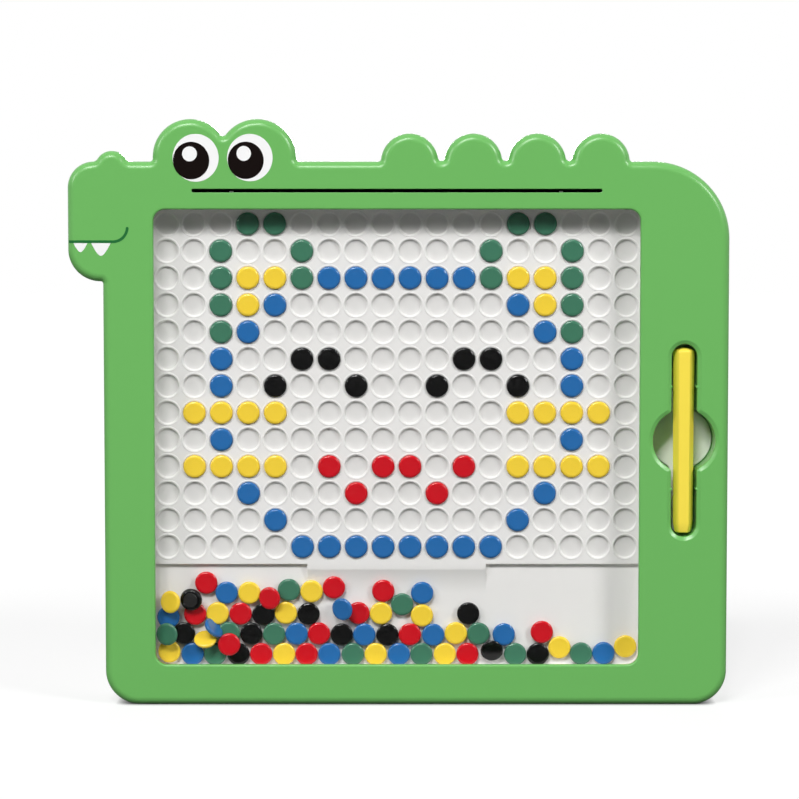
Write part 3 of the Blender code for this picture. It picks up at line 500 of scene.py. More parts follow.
def stitch(bm, rings, closed=True):
    """Faces between each ring of points and the next, or between open rows of points."""
    for near, far in zip(rings, rings[1:]):
        for i in range(0 if closed else 1, max(len(near), len(far))):
            corners = [near[(i - 1) % len(near)], near[i % len(near)]]
            corners += [far[i % len(far)], far[(i - 1) % len(far)]]
            unique = list(dict.fromkeys(corners))
            if len(unique) > 2:
                bm.faces.new(unique)


def skin(name, rings, loop=False):
    """A closed solid through rings of points: capped at both ends, or joined into a loop."""
    bm = bmesh.new()
    made = [[bm.verts.new(point) for point in ring] for ring in rings]
    stitch(bm, made + made[:1] if loop else made)
    if not loop:
        bm.faces.new(made[0])
        bm.faces.new(made[-1])
    return new_mesh(name, bm)


def arc(centre, radius, start, end):
    """Points along an arc in degrees, with outward normals. A clockwise one is a hollow corner."""
    sweep = end - start
    outward = 1 if sweep > 0 else -1
    by_length = ceil(radius * abs(radians(sweep)) / ARC_SEGMENT)
    steps = max(2, by_length, ceil(abs(sweep) / ARC_ANGLE))
    points = []
    for step in range(steps + 1):
        angle = radians(start + sweep * step / steps)
        ray = Vector((cos(angle), sin(angle)))
        points.append((Vector(centre) + radius * ray, outward * ray))
    return points


def swell(centre, radius, start, end):
    return arc(centre, radius, start, start + (end - start) % 360)


def hollow(centre, radius, start, end):
    return arc(centre, radius, start, start - (start - end) % 360)


def heading(start, end):
    return degrees(atan2(end[1] - start[1], end[0] - start[0]))


def foot_fillet(centre, radius, fillet, side):
    """Centre of the hollow fillet between a circle and the back's level line."""
    height = BACK_HEIGHT + fillet
    return centre[0] + side * sqrt((radius + fillet) ** 2 - (height - centre[1]) ** 2), height


def notch_fillet(right, right_radius, left, left_radius, fillet):
    """Centre of the hollow fillet that touches two overlapping circles from above."""
    reach_right, reach_left = right_radius + fillet, left_radius + fillet
    gap = Vector(left) - Vector(right)
    along = (reach_right**2 - reach_left**2 + gap.length_squared) / (2 * gap.length)
    above = sqrt(reach_right**2 - along**2)
    across = Vector((gap.y, -gap.x)).normalized()
    return tuple(Vector(right) + along * gap.normalized() + above * across)


def bumps(circles, foot_radius, notches=()):
    """The line over a row of circles, from right to left, and down to the back's level line."""
    right_foot = foot_fillet(*circles[0], foot_radius, 1)
    left_foot = foot_fillet(*circles[-1], foot_radius, -1)
    corners = [(right_foot, foot_radius), *notches, (left_foot, foot_radius)]
    points = hollow(*corners[0], 270, heading(right_foot, circles[0][0]))
    for index, (centre, radius) in enumerate(circles):
        before, after = corners[index], corners[index + 1]
        points += swell(centre, radius, heading(centre, before[0]), heading(centre, after[0]))
        last = index == len(circles) - 1
        end = 270 if last else heading(after[0], circles[index + 1][0])
        points += hollow(*after, heading(after[0], centre), end)
    return points


def hump_notch(right_x, centre_height):
    """Fillet between two humps, with its lowest point at the valley's height."""
    half_pitch = HUMP_PITCH / 2
    valley = BACK_HEIGHT + HUMP_VALLEY_RISE
    drop = valley - centre_height
    radius = (half_pitch**2 + drop**2 - HUMP_RADIUS**2) / (2 * (HUMP_RADIUS - drop))
    return (right_x - half_pitch, valley + radius), radius


def board_outline():
    """The crocodile's outline from the front, anticlockwise from its lower left corner."""
    corner, shoulder = SIDE_CORNER_RADIUS, SHOULDER_RADIUS
    points = arc((NECK + corner, corner), corner, 180, 270)
    points += arc((RIGHT - corner, corner), corner, 270, 360)
    points += arc((RIGHT - shoulder, BACK_HEIGHT - shoulder), shoulder, 0, 90)
    hump_height = BACK_HEIGHT + HUMP_RISE - HUMP_RADIUS
    humps = [((x, hump_height), HUMP_RADIUS) for x in HUMP_PLACES]
    valleys = [hump_notch(x, hump_height) for x in HUMP_PLACES[:-1]]
    points += bumps(humps, HUMP_FILLET, valleys)
    eye_top = BACK_HEIGHT + EYE_RISE
    right_eye = ((LEFT + RIGHT_EYE_FROM_TIP, eye_top - RIGHT_EYE_RADIUS), RIGHT_EYE_RADIUS)
    left_eye = ((LEFT + LEFT_EYE_FROM_TIP, eye_top - LEFT_EYE_RADIUS), LEFT_EYE_RADIUS)
    notch = (notch_fillet(*right_eye, *left_eye, EYE_FILLET), EYE_FILLET)
    points += bumps([right_eye, left_eye], EYE_FILLET, [notch])
    nostril = ((LEFT + NOSTRIL_FROM_TIP, BACK_HEIGHT + NOSTRIL_RISE - NOSTRIL_RADIUS), NOSTRIL_RADIUS)
    points += bumps([nostril], NOSTRIL_FILLET)
    top = SNOUT_TOP_RADIUS
    points += arc((LEFT + top, BACK_HEIGHT - top), top, 90, 180)
    chin = SNOUT_OVERHANG - CHIN_FILLET
    points += arc((LEFT + chin, CHIN_HEIGHT + chin), chin, 180, 270)
    points += arc((NECK - CHIN_FILLET, CHIN_HEIGHT - CHIN_FILLET), CHIN_FILLET, 90, 0)
    return points


def rounded_box(middle, width, height, radius):
    """Outline of an upright rectangle with round corners."""
    points = []
    for across, up, start in ((1, 1, 0), (-1, 1, 90), (-1, -1, 180), (1, -1, 270)):
        x = middle[0] + across * (width / 2 - radius)
        z = middle[1] + up * (height / 2 - radius)
        points += arc((x, z), radius, start, start + 90)
    return points


def circle(centre, radius):
    return arc(centre, radius, 0, 360)


def recess_outline():
    """The pen's upright slot with the round finger hollow across its middle."""
    half, fillet, radius = RECESS_HALF, RECESS_FILLET, FINGER_HOLLOW_DIAMETER / 2
    top = PEN_TOP + RECESS_END_CLEARANCE - half
    bottom = PEN_FOOT - RECESS_END_CLEARANCE + half
    middle = (PEN_X, PEN_MIDDLE)
    rise = sqrt((radius + fillet) ** 2 - (half + fillet) ** 2)
    points = arc((PEN_X, top), half, 0, 180)
    for side, inner in ((-1, 0), (1, 180)):
        near = (PEN_X + side * (half + fillet), middle[1] - side * rise)
        far = (near[0], middle[1] + side * rise)
        points += hollow(near, fillet, inner, heading(near, middle))
        points += swell(middle, radius, heading(middle, near), heading(middle, far))
        points += hollow(far, fillet, heading(far, middle), inner)
        if side < 0:
            points += arc((PEN_X, bottom), half, 180, 360)
    return points


def tidy(points):
    """The same outline without the doubled points where arcs meet."""
    kept = []
    for place, normal in points:
        if not kept or (place - kept[-1][0]).length > GAP / 10:
            kept.append((place, normal))
    if (kept[0][0] - kept[-1][0]).length <= GAP / 10:
        kept.pop()
    return kept


def rings_of(outline, stations):
    """Copies of an outline, each moved outward and set at its Y."""
    outline = tidy(outline)
    rings = []
    for outset, y in stations:
        places = [place + outset * normal for place, normal in outline]
        rings.append([(place.x, y, place.y) for place in places])
    return rings


def loft(name, outline, stations):
    return skin(name, rings_of(outline, stations))


def prism(name, outline, near, far):
    return loft(name, outline, [(0, near), (0, far)])


def quarter_turn(steps):
    """Pairs across and along a round edge of radius 1, from its start (1, 0) to its end (0, 1)."""
    angles = [radians(90 * step / steps) for step in range(steps + 1)]
    return [(1 - sin(angle), 1 - cos(angle)) for angle in angles]


def quarter(radius, y, opening, steps=EDGE_STEPS):
    """Stations round a quarter circle: an edge that closes, or the mouth of a cutter."""
    way = radius if opening else -radius
    return [(way * across, y + radius * along) for across, along in quarter_turn(steps)]


def flared(name, outline, radius, far):
    """A cutter from the front whose mouth opens in a flare, which rounds the edge that it leaves."""
    return loft(name, outline, [(radius, FRONT - OVERRUN), *quarter(radius, FRONT, True), (0, far)])


def recess_cutter():
    """Cuts the pen's recess. Its mouth opens in a slanted rim with slightly rounded edges."""
    flare, depth, soft, near = RECESS_FLARE, RECESS_FLARE_DEPTH, RECESS_FLARE_SOFTNESS, FRONT
    slope = depth / flare
    stations = [
        (flare + soft, near - OVERRUN),
        (flare + soft, near),
        (flare + 0.4 * soft, near + 0.1 * soft * slope),
        (flare - soft, near + soft * slope),
        (soft, near + (flare - soft) * slope),
        (0.3 * soft, near + depth),
        (0, near + depth + soft),
        (0, BACK - GAP),
    ]
    return loft("recess_cutter", recess_outline(), stations)


def turned(name, profile):
    """Turned about Z from a profile of radius and height. Points on the axis close it."""
    bm = bmesh.new()
    rings = []
    for radius, height in profile:
        turns = [2 * pi * i / DISC_SIDES for i in range(DISC_SIDES if radius else 1)]
        rings.append([bm.verts.new((radius * cos(a), radius * sin(a), height)) for a in turns])
    stitch(bm, rings)
    return new_mesh(name, bm)


def add_object(name, data):
    """A new object, linked to the scene."""
    item = bpy.data.objects.new(name, data)
    bpy.context.scene.collection.objects.link(item)
    return item


def carved(mesh, steps):
    """The mesh after its cuts and joins, each a mesh of its own. The tools are thrown away."""
    target = add_object(mesh.name, mesh)
    tools = []
    for operation, tool_mesh in steps:
        tool = add_object(tool_mesh.name, tool_mesh)
        boolean = target.modifiers.new(tool.name, "BOOLEAN")
        boolean.operation = operation
        boolean.solver = "EXACT"
        boolean.object = tool
        tools.append(tool)
    seen = target.evaluated_get(bpy.context.evaluated_depsgraph_get())
    result = bpy.data.meshes.new_from_object(seen)
    for item in [target, *tools]:
        bpy.data.objects.remove(item, do_unlink=True)
    return result


def boxes(name, corners):
    bm = bmesh.new()
    for low, high in corners:
        low, high = Vector(low), Vector(high)
        made = bmesh.ops.create_cube(bm, size=1)["verts"]
        bmesh.ops.scale(bm, verts=made, vec=high - low)
        bmesh.ops.translate(bm, verts=made, vec=(low + high) / 2)
    return new_mesh(name, bm)


def favour_flats(mesh, area):
    """Lets wide flat faces alone set the normals along their borders."""
    strength = mesh.attributes.new(FLAT_MARKS, "INT", "FACE")
    strength.data.foreach_set("value", [1 if face.area > area else 0 for face in mesh.polygons])


def add_piece(name, mesh, material, body="board", stands_for=(), slot=None, matrix=None):
    """One visible piece: in place, with its material, riding on its body."""
    mesh.materials.clear()
    mesh.materials.append(MATERIALS[material])
    mesh.shade_smooth()
    mesh.set_sharp_from_angle(angle=SHARP_ANGLE)
    piece = add_object(name, mesh)
    if matrix is not None:
        piece.matrix_world = matrix
    normals = piece.modifiers.new("even_normals", "WEIGHTED_NORMAL")
    normals.keep_sharp = True
    normals.use_face_influence = FLAT_MARKS in mesh.attributes
    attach(piece, body)
    if stands_for:
        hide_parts(*stands_for)


# Front shell and its prints


def pen_nibs():
    """Four small upright nibs on the walls of the recess that pinch the pen."""
    wall = RECESS_HALF + CLIP_RADIUS - (RECESS_CLEARANCE - GAP)
    near = FRONT + RECESS_FLARE_DEPTH - GAP
    stations = [*quarter(CLIP_RADIUS / 3, near, False, 3), (0, near + CLIP_LENGTH)]
    nibs = []
    for side in (-1, 1):
        for end in (-1, 1):
            centre = (PEN_X + side * wall, PEN_MIDDLE + CLIP_RISE + end * CLIP_SPACING / 2)
            nibs.append(loft("nib", circle(centre, CLIP_RADIUS), stations))
    return nibs


def slot_outline(outset):
    height = SLOT_OPENING + 2 * outset
    return rounded_box((WINDOW_X, SLOT_HEIGHT), SLOT_WIDTH + 2 * outset, height, height / 2)


def build_shell():
    stations = quarter(FRONT_EDGE_RADIUS, FRONT, False, 2 * EDGE_STEPS)
    for across, along in quarter_turn(EDGE_STEPS):
        stations.append((-BACK_EDGE_RADIUS * along, BACK - BACK_EDGE_RADIUS * across))
    stations += [(-SHELL_WALL, BACK), (-SHELL_WALL, SHELL_INSIDE)]
    shell = loft("front_shell_body", board_outline(), stations)

    root = SHELL_INSIDE - GAP
    tube = [(RECESS_WALL, root), (RECESS_WALL, COVER_FRONT - GAP)]
    window_middle = (WINDOW_X, WINDOW_MIDDLE)
    window = rounded_box(window_middle, WINDOW_WIDTH, WINDOW_HEIGHT, WINDOW_CORNER_RADIUS)
    joined = [
        loft("recess_tube", recess_outline(), tube),
        prism("slot_pocket", slot_outline(SLOT_WALL), root, FRONT + SLOT_DEPTH + SLOT_WALL),
    ]
    cut = [
        flared("window_cutter", window, WINDOW_EDGE_RADIUS, SHELL_INSIDE + OVERRUN),
        flared("slot_cutter", slot_outline(0), GAP, FRONT + SLOT_DEPTH),
        recess_cutter(),
    ]
    steps = [("UNION", tool) for tool in joined] + [("DIFFERENCE", tool) for tool in cut]
    shell = carved(shell, steps + [("UNION", nib) for nib in pen_nibs()])
    favour_flats(shell, WELL_PITCH**2)
    add_piece("crocodile_shell", shell, "shell", stands_for=["front_shell"], slot="green_shell")


def shade_slot():
    """The card slot's deep shade, painted as a near-black skin inside it, and the two low ribs that show
    pale in it.
    """
    shade_skin = GAP / 2
    inner = slot_outline(-shade_skin)
    near, far = FRONT + 2 * GAP, FRONT + SLOT_DEPTH - shade_skin
    shade_rings = rings_of(inner, [(shade_skin * 0.8, near), (shade_skin * 0.8, far), (0, far - shade_skin), (0, near)])
    add_piece("slot_shade_lining", skin("slot_shade_lining", shade_rings, loop=True), "slot")
    add_piece("slot_shade_back", prism("slot_shade_back", inner, far - 2 * shade_skin, far - shade_skin), "slot")
    low = SLOT_HEIGHT - SLOT_OPENING / 2 + shade_skin
    ribs = []
    for x in SLOT_RIBS:
        near = (x - SLOT_RIB_WIDTH / 2, FRONT + 8 * GAP, low)
        ribs.append((near, (x + SLOT_RIB_WIDTH / 2, FRONT + 16 * GAP, low + 2 * GAP)))
    add_piece("slot_ribs", boxes("slot_ribs", ribs), "tray")


def oval(x, z, width, height):
    points = []
    for step in range(OVAL_SIDES):
        angle = 2 * pi * step / OVAL_SIDES
        place = Vector((x + width / 2 * cos(angle), z + height / 2 * sin(angle)))
        points.append((place, Vector((cos(angle), sin(angle)))))
    return points


def build_eyes():
    """White, pupil and glint of each eye, printed one over the other."""
    for side, shapes in EYES.items():
        for level, ((part, ink), shape) in enumerate(zip(EYE_LAYERS, shapes), start=1):
            name = f"{side}_eye_{part}"
            add_piece(name, prism(name, oval(*shape), FRONT - PRINT_RISE * level, FRONT), ink)


def snout_face(x, z):
    """Y of the shell's surface near the snout's tip, where the front edge rounds off."""
    chin = SNOUT_OVERHANG - CHIN_FILLET
    middle = (LEFT + chin, CHIN_HEIGHT + chin)
    if x < middle[0] and z < middle[1]:
        inside = chin - hypot(x - middle[0], z - middle[1])
    else:
        inside = x - LEFT
    short = max(0.0, FRONT_EDGE_RADIUS - max(inside, 0.0))
    return FRONT + FRONT_EDGE_RADIUS - sqrt(FRONT_EDGE_RADIUS**2 - short**2)


def ribbon(name, rows):
    """A thin print that follows the shell: rows of (x, z) points across, front and back."""
    bm = bmesh.new()
    borders = []
    for rise in (PRINT_RISE, -PRINT_RISE):
        layer = [[bm.verts.new((x, snout_face(x, z) - rise, z)) for x, z in row] for row in rows]
        stitch(bm, layer, closed=False)
        sides = [row[-1] for row in layer[1:]], [row[0] for row in layer[-2:0:-1]]
        borders.append([*layer[0], *sides[0], *layer[-1][-2::-1], *sides[1]])
    stitch(bm, borders)
    return new_mesh(name, bm)


def build_mouth():
    """The mouth's line, with its curl at the corner and its round end, and two teeth below it."""
    half = MOUTH_WIDTH / 2
    line = []
    for step in range(31):
        x = MOUTH_START + (MOUTH_BEND - MOUTH_START) * step / 30
        line.append((Vector((x, MOUTH_HEIGHT)), Vector((0, 1)), half))
    for step in range(1, 25):
        angle = radians(-90 + 86 * step / 24)
        ray = Vector((cos(angle), sin(angle)))
        line.append((Vector((MOUTH_BEND, MOUTH_HEIGHT + MOUTH_CURL)) + MOUTH_CURL * ray, -ray, half))
    place, across, half = line[-1]
    forward = Vector((across.y, -across.x))
    for step in range(1, 7):
        angle = radians(88 * step / 6)
        line.append((place + forward * half * sin(angle), across, half * cos(angle)))
    rows = []
    for place, across, reach in line:
        rows.append([tuple(place + across * reach * share) for share in (-1, -0.5, 0, 0.5, 1)])
    add_piece("mouth_line", ribbon("mouth_line", rows), "mouth_print")

    top = MOUTH_HEIGHT - half
    for number, (left, right, tip_x, tip_z) in enumerate(TEETH, start=1):
        rows = []
        for step in range(25):
            down = min(1 - (1 - step / 24) ** 2, 0.9995)
            shape = TOOTH_TAPER * (1 - down) + (1 - TOOTH_TAPER) * sqrt(1 - down)
            middle = (left + right) / 2 + (tip_x - (left + right) / 2) * down
            width = (right - left) / 2 * shape
            z = top + (tip_z - top) * down
            rows.append([(middle + width * share, z) for share in (-1, -0.6, -0.2, 0.2, 0.6, 1)])
        add_piece(f"tooth_{number}", ribbon(f"tooth_{number}", rows), "white_print")


# Tray of wells


def chamber_limit(x, z, margin):
    """The same point, moved inside the chamber's walls, round corners included."""
    half_width = CHAMBER_WIDTH / 2 - margin
    top, radius = CHAMBER_TOP - margin, TRAY_CORNER_RADIUS - margin
    x = min(max(x, GRID_X - half_width), GRID_X + half_width)
    z = min(z, top)
    for side in (-1, 1):
        centre_x, centre_z = GRID_X + side * (half_width - radius), top - radius
        if side * (x - centre_x) > 0 and z > centre_z:
            away = hypot(x - centre_x, z - centre_z)
            if away > radius:
                x = centre_x + (x - centre_x) * radius / away
                z = centre_z + (z - centre_z) * radius / away
    return x, z


def well_place(row, column):
    return GRID_LEFT + column * WELL_PITCH, GRID_TOP - row * WELL_PITCH


def add_cell(bm, centre_x, centre_z, cache):
    """One square cell of the panel with its dished well."""
    turns = [2 * pi * i / WELL_SIDES for i in range(WELL_SIDES)]
    square = []
    for a in turns:
        stretch = WELL_PITCH / 2 / max(abs(cos(a)), abs(sin(a)))
        x, z = centre_x + stretch * cos(a), centre_z + stretch * sin(a)
        x, z = chamber_limit(x, z, WALL_FOOT - GAP)
        key = (round(x, 7), round(z, 7))
        if key not in cache:
            cache[key] = bm.verts.new((x, PANEL_FRONT, z))
        square.append(cache[key])
    rings = [square]
    for radius, depth in WELL_SECTION:
        y = PANEL_FRONT + depth
        places = [(centre_x + radius * cos(a), y, centre_z + radius * sin(a)) for a in turns]
        rings.append([bm.verts.new(place) for place in places])
    stitch(bm, rings)
    bm.faces.new(rings[-1])


def tray_walls():
    """The tray's wall as one ring: outside, front rim, inside, and a round foot at the floor."""
    middle = (GRID_X, CHAMBER_MIDDLE)
    outline = tidy(rounded_box(middle, CHAMBER_WIDTH, CHAMBER_TALL, TRAY_CORNER_RADIUS))
    places = []
    for (place, normal), (after, _) in zip(outline, outline[1:] + outline[:1]):
        places.append((place, normal))
        for level in sorted((LEDGE_HEIGHT + GAP, LEDGE_HEIGHT - GAP), reverse=after.y < place.y):
            if min(place.y, after.y) < level < max(place.y, after.y):
                places.append((Vector((place.x, level)), normal))
    edge = TRAY_WALL / 3
    stations = [(TRAY_WALL, PANEL_BACK), (TRAY_WALL, TRAY_FRONT + edge), (TRAY_WALL - edge, TRAY_FRONT)]
    stations += [(edge, TRAY_FRONT), (0, TRAY_FRONT + edge)]
    floors = [PANEL_FRONT if place.y > LEDGE_HEIGHT else RESERVOIR_FLOOR for place, normal in places]
    levels = [(outset, [y] * len(places)) for outset, y in stations]
    for across, along in quarter_turn(5):
        levels.append((-WALL_FOOT * along, [floor - WALL_FOOT * across for floor in floors]))
    bm = bmesh.new()
    rings = []
    for outset, heights in levels:
        ring = [(p.x + outset * n.x, y, p.y + outset * n.y) for (p, n), y in zip(places, heights)]
        rings.append([bm.verts.new(point) for point in ring])
    stitch(bm, rings)
    bm.faces.new(rings[0])
    bm.faces.new([vert for vert, (place, _) in zip(rings[-1], places) if place.y < LEDGE_HEIGHT])
    return bm


def add_ledge(bm):
    """The step down into the reservoir, with the tongue across its middle that ends in a ramp."""
    lip, foot = LEDGE_LIP, LEDGE_FOOT
    step = [(LEDGE_HEIGHT + lip * across, PANEL_FRONT + lip * along) for across, along in quarter_turn(4)]
    for across, along in quarter_turn(7):
        step.append((LEDGE_HEIGHT - foot * along, RESERVOIR_FLOOR - foot * across))
    ramp = [step[0]]
    for turn in range(17):
        drop = RESERVOIR_STEP * (1 - (1 - turn / 16) ** 2)
        ramp.append((LEDGE_HEIGHT - RAMP_LEVEL - RAMP_RUN * turn / 16, PANEL_FRONT + drop))
    half, side = CHAMBER_WIDTH / 2 - WALL_FOOT + GAP, RAMP_WIDTH / 2
    for left, right, profile in ((-half, -side, step), (-side, side, ramp), (side, half, step)):
        rows = [[bm.verts.new((GRID_X + x, y, z)) for z, y in profile] for x in (left, right)]
        stitch(bm, rows, closed=False)
    for x in (-side, side):
        bm.faces.new([bm.verts.new((GRID_X + x, y, z)) for z, y in ramp + step[:0:-1]])
    return step[0][0]


def build_tray():
    bm = tray_walls()
    low = add_ledge(bm)
    cache = {}
    for row in range(WELL_ROWS):
        for column in range(WELL_COLUMNS):
            add_cell(bm, *well_place(row, column), cache)
    left, right = GRID_LEFT - WELL_PITCH / 2, GRID_LEFT + (WELL_COLUMNS - 0.5) * WELL_PITCH
    top, bottom = GRID_TOP + WELL_PITCH / 2, GRID_BOTTOM - WELL_PITCH / 2
    wall_left, wall_right = [GRID_X + way * (CHAMBER_WIDTH / 2 - WALL_FOOT + GAP) for way in (-1, 1)]
    wall_top = CHAMBER_TOP - WALL_FOOT + GAP
    reach = TRAY_CORNER_RADIUS - WALL_FOOT
    strips = [
        (wall_left, bottom, left, wall_top - reach),
        (right, bottom, wall_right, wall_top - reach),
        (wall_left + reach, top, wall_right - reach, wall_top),
        (wall_left, low, wall_right, bottom),
    ]
    for x0, z0, x1, z1 in strips:
        if x1 > x0 and z1 > z0:
            corners = ((x0, z0), (x1, z0), (x1, z1), (x0, z1))
            bm.faces.new([bm.verts.new((x, PANEL_FRONT, z)) for x, z in corners])
    bmesh.ops.remove_doubles(bm, verts=bm.verts, dist=GAP / 300)
    mesh = new_mesh("bead_tray", bm, closed=False)
    add_piece("bead_tray", mesh, "tray", stands_for=["well_tray"], slot="white_tray")


# Discs


def disc_profile():
    """From the middle of the round front to the slug's recess in the back."""
    reach = DISC_DIAMETER / 2 - DISC_FACE_RADIUS
    face = DISC_THICKNESS - DISC_FACE_HOLLOW
    profile = [(0, face), (DISC_FACE_RADIUS * 0.8, face)]
    for across, along in quarter_turn(10):
        drop = DISC_FRONT_ROUND * along
        profile.append((DISC_FACE_RADIUS + reach * (1 - across), DISC_THICKNESS - drop))
    recess = SLUG_DIAMETER / 2 + GAP / 3
    back = DISC_BACK_RISE
    profile += [*DISC_BACK_SECTION, (recess + GAP / 2, back), (recess, back + GAP / 2)]
    return profile + [(recess, SLUG_RECESS_DEPTH), (0, SLUG_RECESS_DEPTH)]


def slug_profile():
    top, back = SLUG_RECESS_DEPTH - GAP, DISC_BACK_RISE + GAP / 6
    radius = SLUG_DIAMETER / 2
    return [(0, top), (radius, top), (radius, back + GAP / 2), (radius - GAP / 2, back), (0, back)]


FACE_FRONT = Matrix.Rotation(radians(90), 4, "X")

# Wells that hold a disc, in the left half of the grid: row, colour and columns
LEFT_HALF = (
    (0, "green", (3, 4)), (1, "green", (2, 5)), (2, "green", (2, 5)),
    (2, "yellow", (3, 4)), (2, "blue", (6, 7, 8)), (3, "green", (2,)),
    (3, "yellow", (3,)), (3, "blue", (4,)), (4, "green", (2,)),
    (4, "blue", (3,)), (5, "blue", (2,)), (6, "blue", (2,)),
    (7, "yellow", (1, 2, 3, 4)), (8, "blue", (2,)), (9, "yellow", (1, 2, 3, 4)),
    (10, "blue", (3,)), (11, "blue", (4,)), (12, "blue", (5, 6, 7, 8)),
)

# Loose discs that lie flat on the reservoir's floor: colour, X and Z in millimetres
FLAT_DISCS = (
    ("red", -94.0, 57.9), ("blue", -84.1, 53.0), ("yellow", -73.0, 53.0), ("green", -53.7, 54.4),
    ("yellow", -42.6, 53.7), ("red", -31.7, 55.6), ("red", -7.6, 53.9), ("green", 1.6, 47.3),
    ("blue", 11.4, 52.9), ("red", -99.5, 42.6), ("yellow", -88.5, 42.9), ("red", -77.3, 42.7),
    ("black", -66.2, 42.4), ("yellow", -55.2, 43.1), ("black", -44.1, 42.6), ("red", -19.8, 43.0),
    ("yellow", -8.7, 42.9), ("yellow", 11.3, 41.8), ("black", 33.9, 42.8), ("blue", -112.6, 41.1),
    ("black", -105.1, 33.0), ("green", -83.1, 33.2), ("black", -72.1, 32.8), ("green", -61.0, 32.7),
    ("blue", -50.0, 32.8), ("red", -39.0, 32.9), ("black", -27.9, 32.4), ("blue", -16.9, 32.4),
    ("black", -5.6, 32.3), ("red", 5.4, 32.5), ("blue", 16.8, 32.3), ("yellow", 27.9, 33.1),
    ("green", 38.9, 32.9), ("blue", 51.3, 32.5), ("red", 69.9, 33.7), ("yellow", -112.2, 24.1),
    ("blue", -100.9, 22.8), ("green", -89.8, 22.8), ("black", -78.4, 22.8), ("red", -67.3, 22.8),
    ("yellow", -56.1, 22.8), ("red", -45.1, 22.8), ("blue", -34.0, 22.8), ("green", -22.5, 22.8),
    ("yellow", -11.3, 22.8), ("blue", 0.0, 22.8), ("green", 11.1, 22.8), ("yellow", 22.5, 22.8),
    ("red", 33.6, 22.8), ("green", 56.9, 22.8), ("black", 68.0, 22.8), ("yellow", 78.5, 26.1),
    ("green", 89.1, 23.1), ("blue", 100.1, 23.3), ("yellow", 110.7, 26.6),
)

# Loose discs that lie on others: colour, X, Z and height over the floor in millimetres, then the
# direction in which the face leans, anticlockwise from the right, and how far, both in degrees
LEANING_DISCS = (
    ("red", -62.9, 50.7, 2.6, 180, 20),
    ("yellow", -111.1, 49.0, 4.2, 170, 28),
    ("blue", -27.4, 45.4, 3.4, 190, 28),
    ("green", -112.9, 33.2, 4.2, 175, 17),
    ("blue", -90.4, 36.0, 3.4, 44, 70),
    ("yellow", -94.4, 30.4, 3.6, 90, 52),
    ("red", -82.8, 28.1, 3.4, 60, 3),
    ("black", 45.4, 24.9, 2.0, 270, 20),
)
FLIPPED_DISC = ("black", -101.3, 50.0, 3.8, 200, 12)


def upright(x, y, z):
    """Where a disc stands whose face looks to the front."""
    return Matrix.Translation((x, y, z)) @ FACE_FRONT


def leaning(x, z, lift, way, lean, over=0):
    """Where a disc lies that rests on others, its face leaning the given way, or turned over."""
    thickness = DISC_THICKNESS - DISC_BACK_RISE
    y = RESERVOIR_FLOOR - GAP - thickness / 2 - lift / 1000
    toward = Vector((cos(radians(way)), 0, sin(radians(way))))
    turn = Matrix.Rotation(radians(lean), 4, Vector((0, -1, 0)).cross(toward))
    over = Matrix.Rotation(radians(over), 4, "X")
    middle = Matrix.Translation((0, 0, thickness / 2 - DISC_THICKNESS))
    return Matrix.Translation((x / 1000, y, z / 1000)) @ turn @ FACE_FRONT @ over @ middle


def build_discs():
    caps = {colour: turned(f"{colour}_cap", disc_profile()) for colour in DISC_COLOURS}
    slug = turned("slug", slug_profile())

    def add_disc(name, colour, matrix, **rest):
        add_piece(name, caps[colour], colour, matrix=matrix, **rest)

    for name in sorted(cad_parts):
        kind = name.split("_disc_")[0]
        if kind not in ("eye", "mouth") or name.endswith("_slug"):
            continue
        colour = "black" if kind == "eye" else "red"
        low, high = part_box(name)
        matrix = upright((low[0] + high[0]) / 2, DISC_BACK, (low[2] + high[2]) / 2)
        bead = name.replace("disc", "bead")
        add_disc(bead, colour, matrix, body=name, stands_for=[name], slot=f"{colour}_disc")
        add_piece(f"{bead}_slug", slug, "slug", name, [f"{name}_slug"], "screw_steel", matrix)

    count = 0
    for row, colour, columns in LEFT_HALF:
        for column in [*columns, *(WELL_COLUMNS - 1 - c for c in columns)]:
            count += 1
            x, z = well_place(row, column)
            add_disc(f"picture_bead_{count}", colour, upright(x, DISC_BACK, z))

    y = RESERVOIR_FLOOR - GAP + DISC_BACK_RISE
    for number, (colour, x, z) in enumerate(FLAT_DISCS, start=1):
        add_disc(f"loose_bead_{number}", colour, upright(x / 1000, y, z / 1000))
    for number, (colour, *place) in enumerate(LEANING_DISCS, start=1):
        add_disc(f"leaning_bead_{number}", colour, leaning(*place))
    colour, *place = FLIPPED_DISC
    matrix = leaning(*place, over=180)
    add_disc("flipped_bead", colour, matrix)
    add_piece("flipped_bead_slug", slug, "slug", matrix=matrix)


# Pen


def hexagon(apothem, z):
    """A level hexagon with round corners on its left and right, about the pen's axis."""
    points = []
    reach = (apothem - PEN_CORNER) / cos(pi / 6)
    for side in range(6):
        middle = pi / 3 * side
        for step in range(7):
            angle = middle - pi / 6 + pi / 3 * step / 6
            x = PEN_X + reach * cos(middle) + PEN_CORNER * cos(angle)
            points.append((x, PEN_Y + reach * sin(middle) + PEN_CORNER * sin(angle), z))
    return points


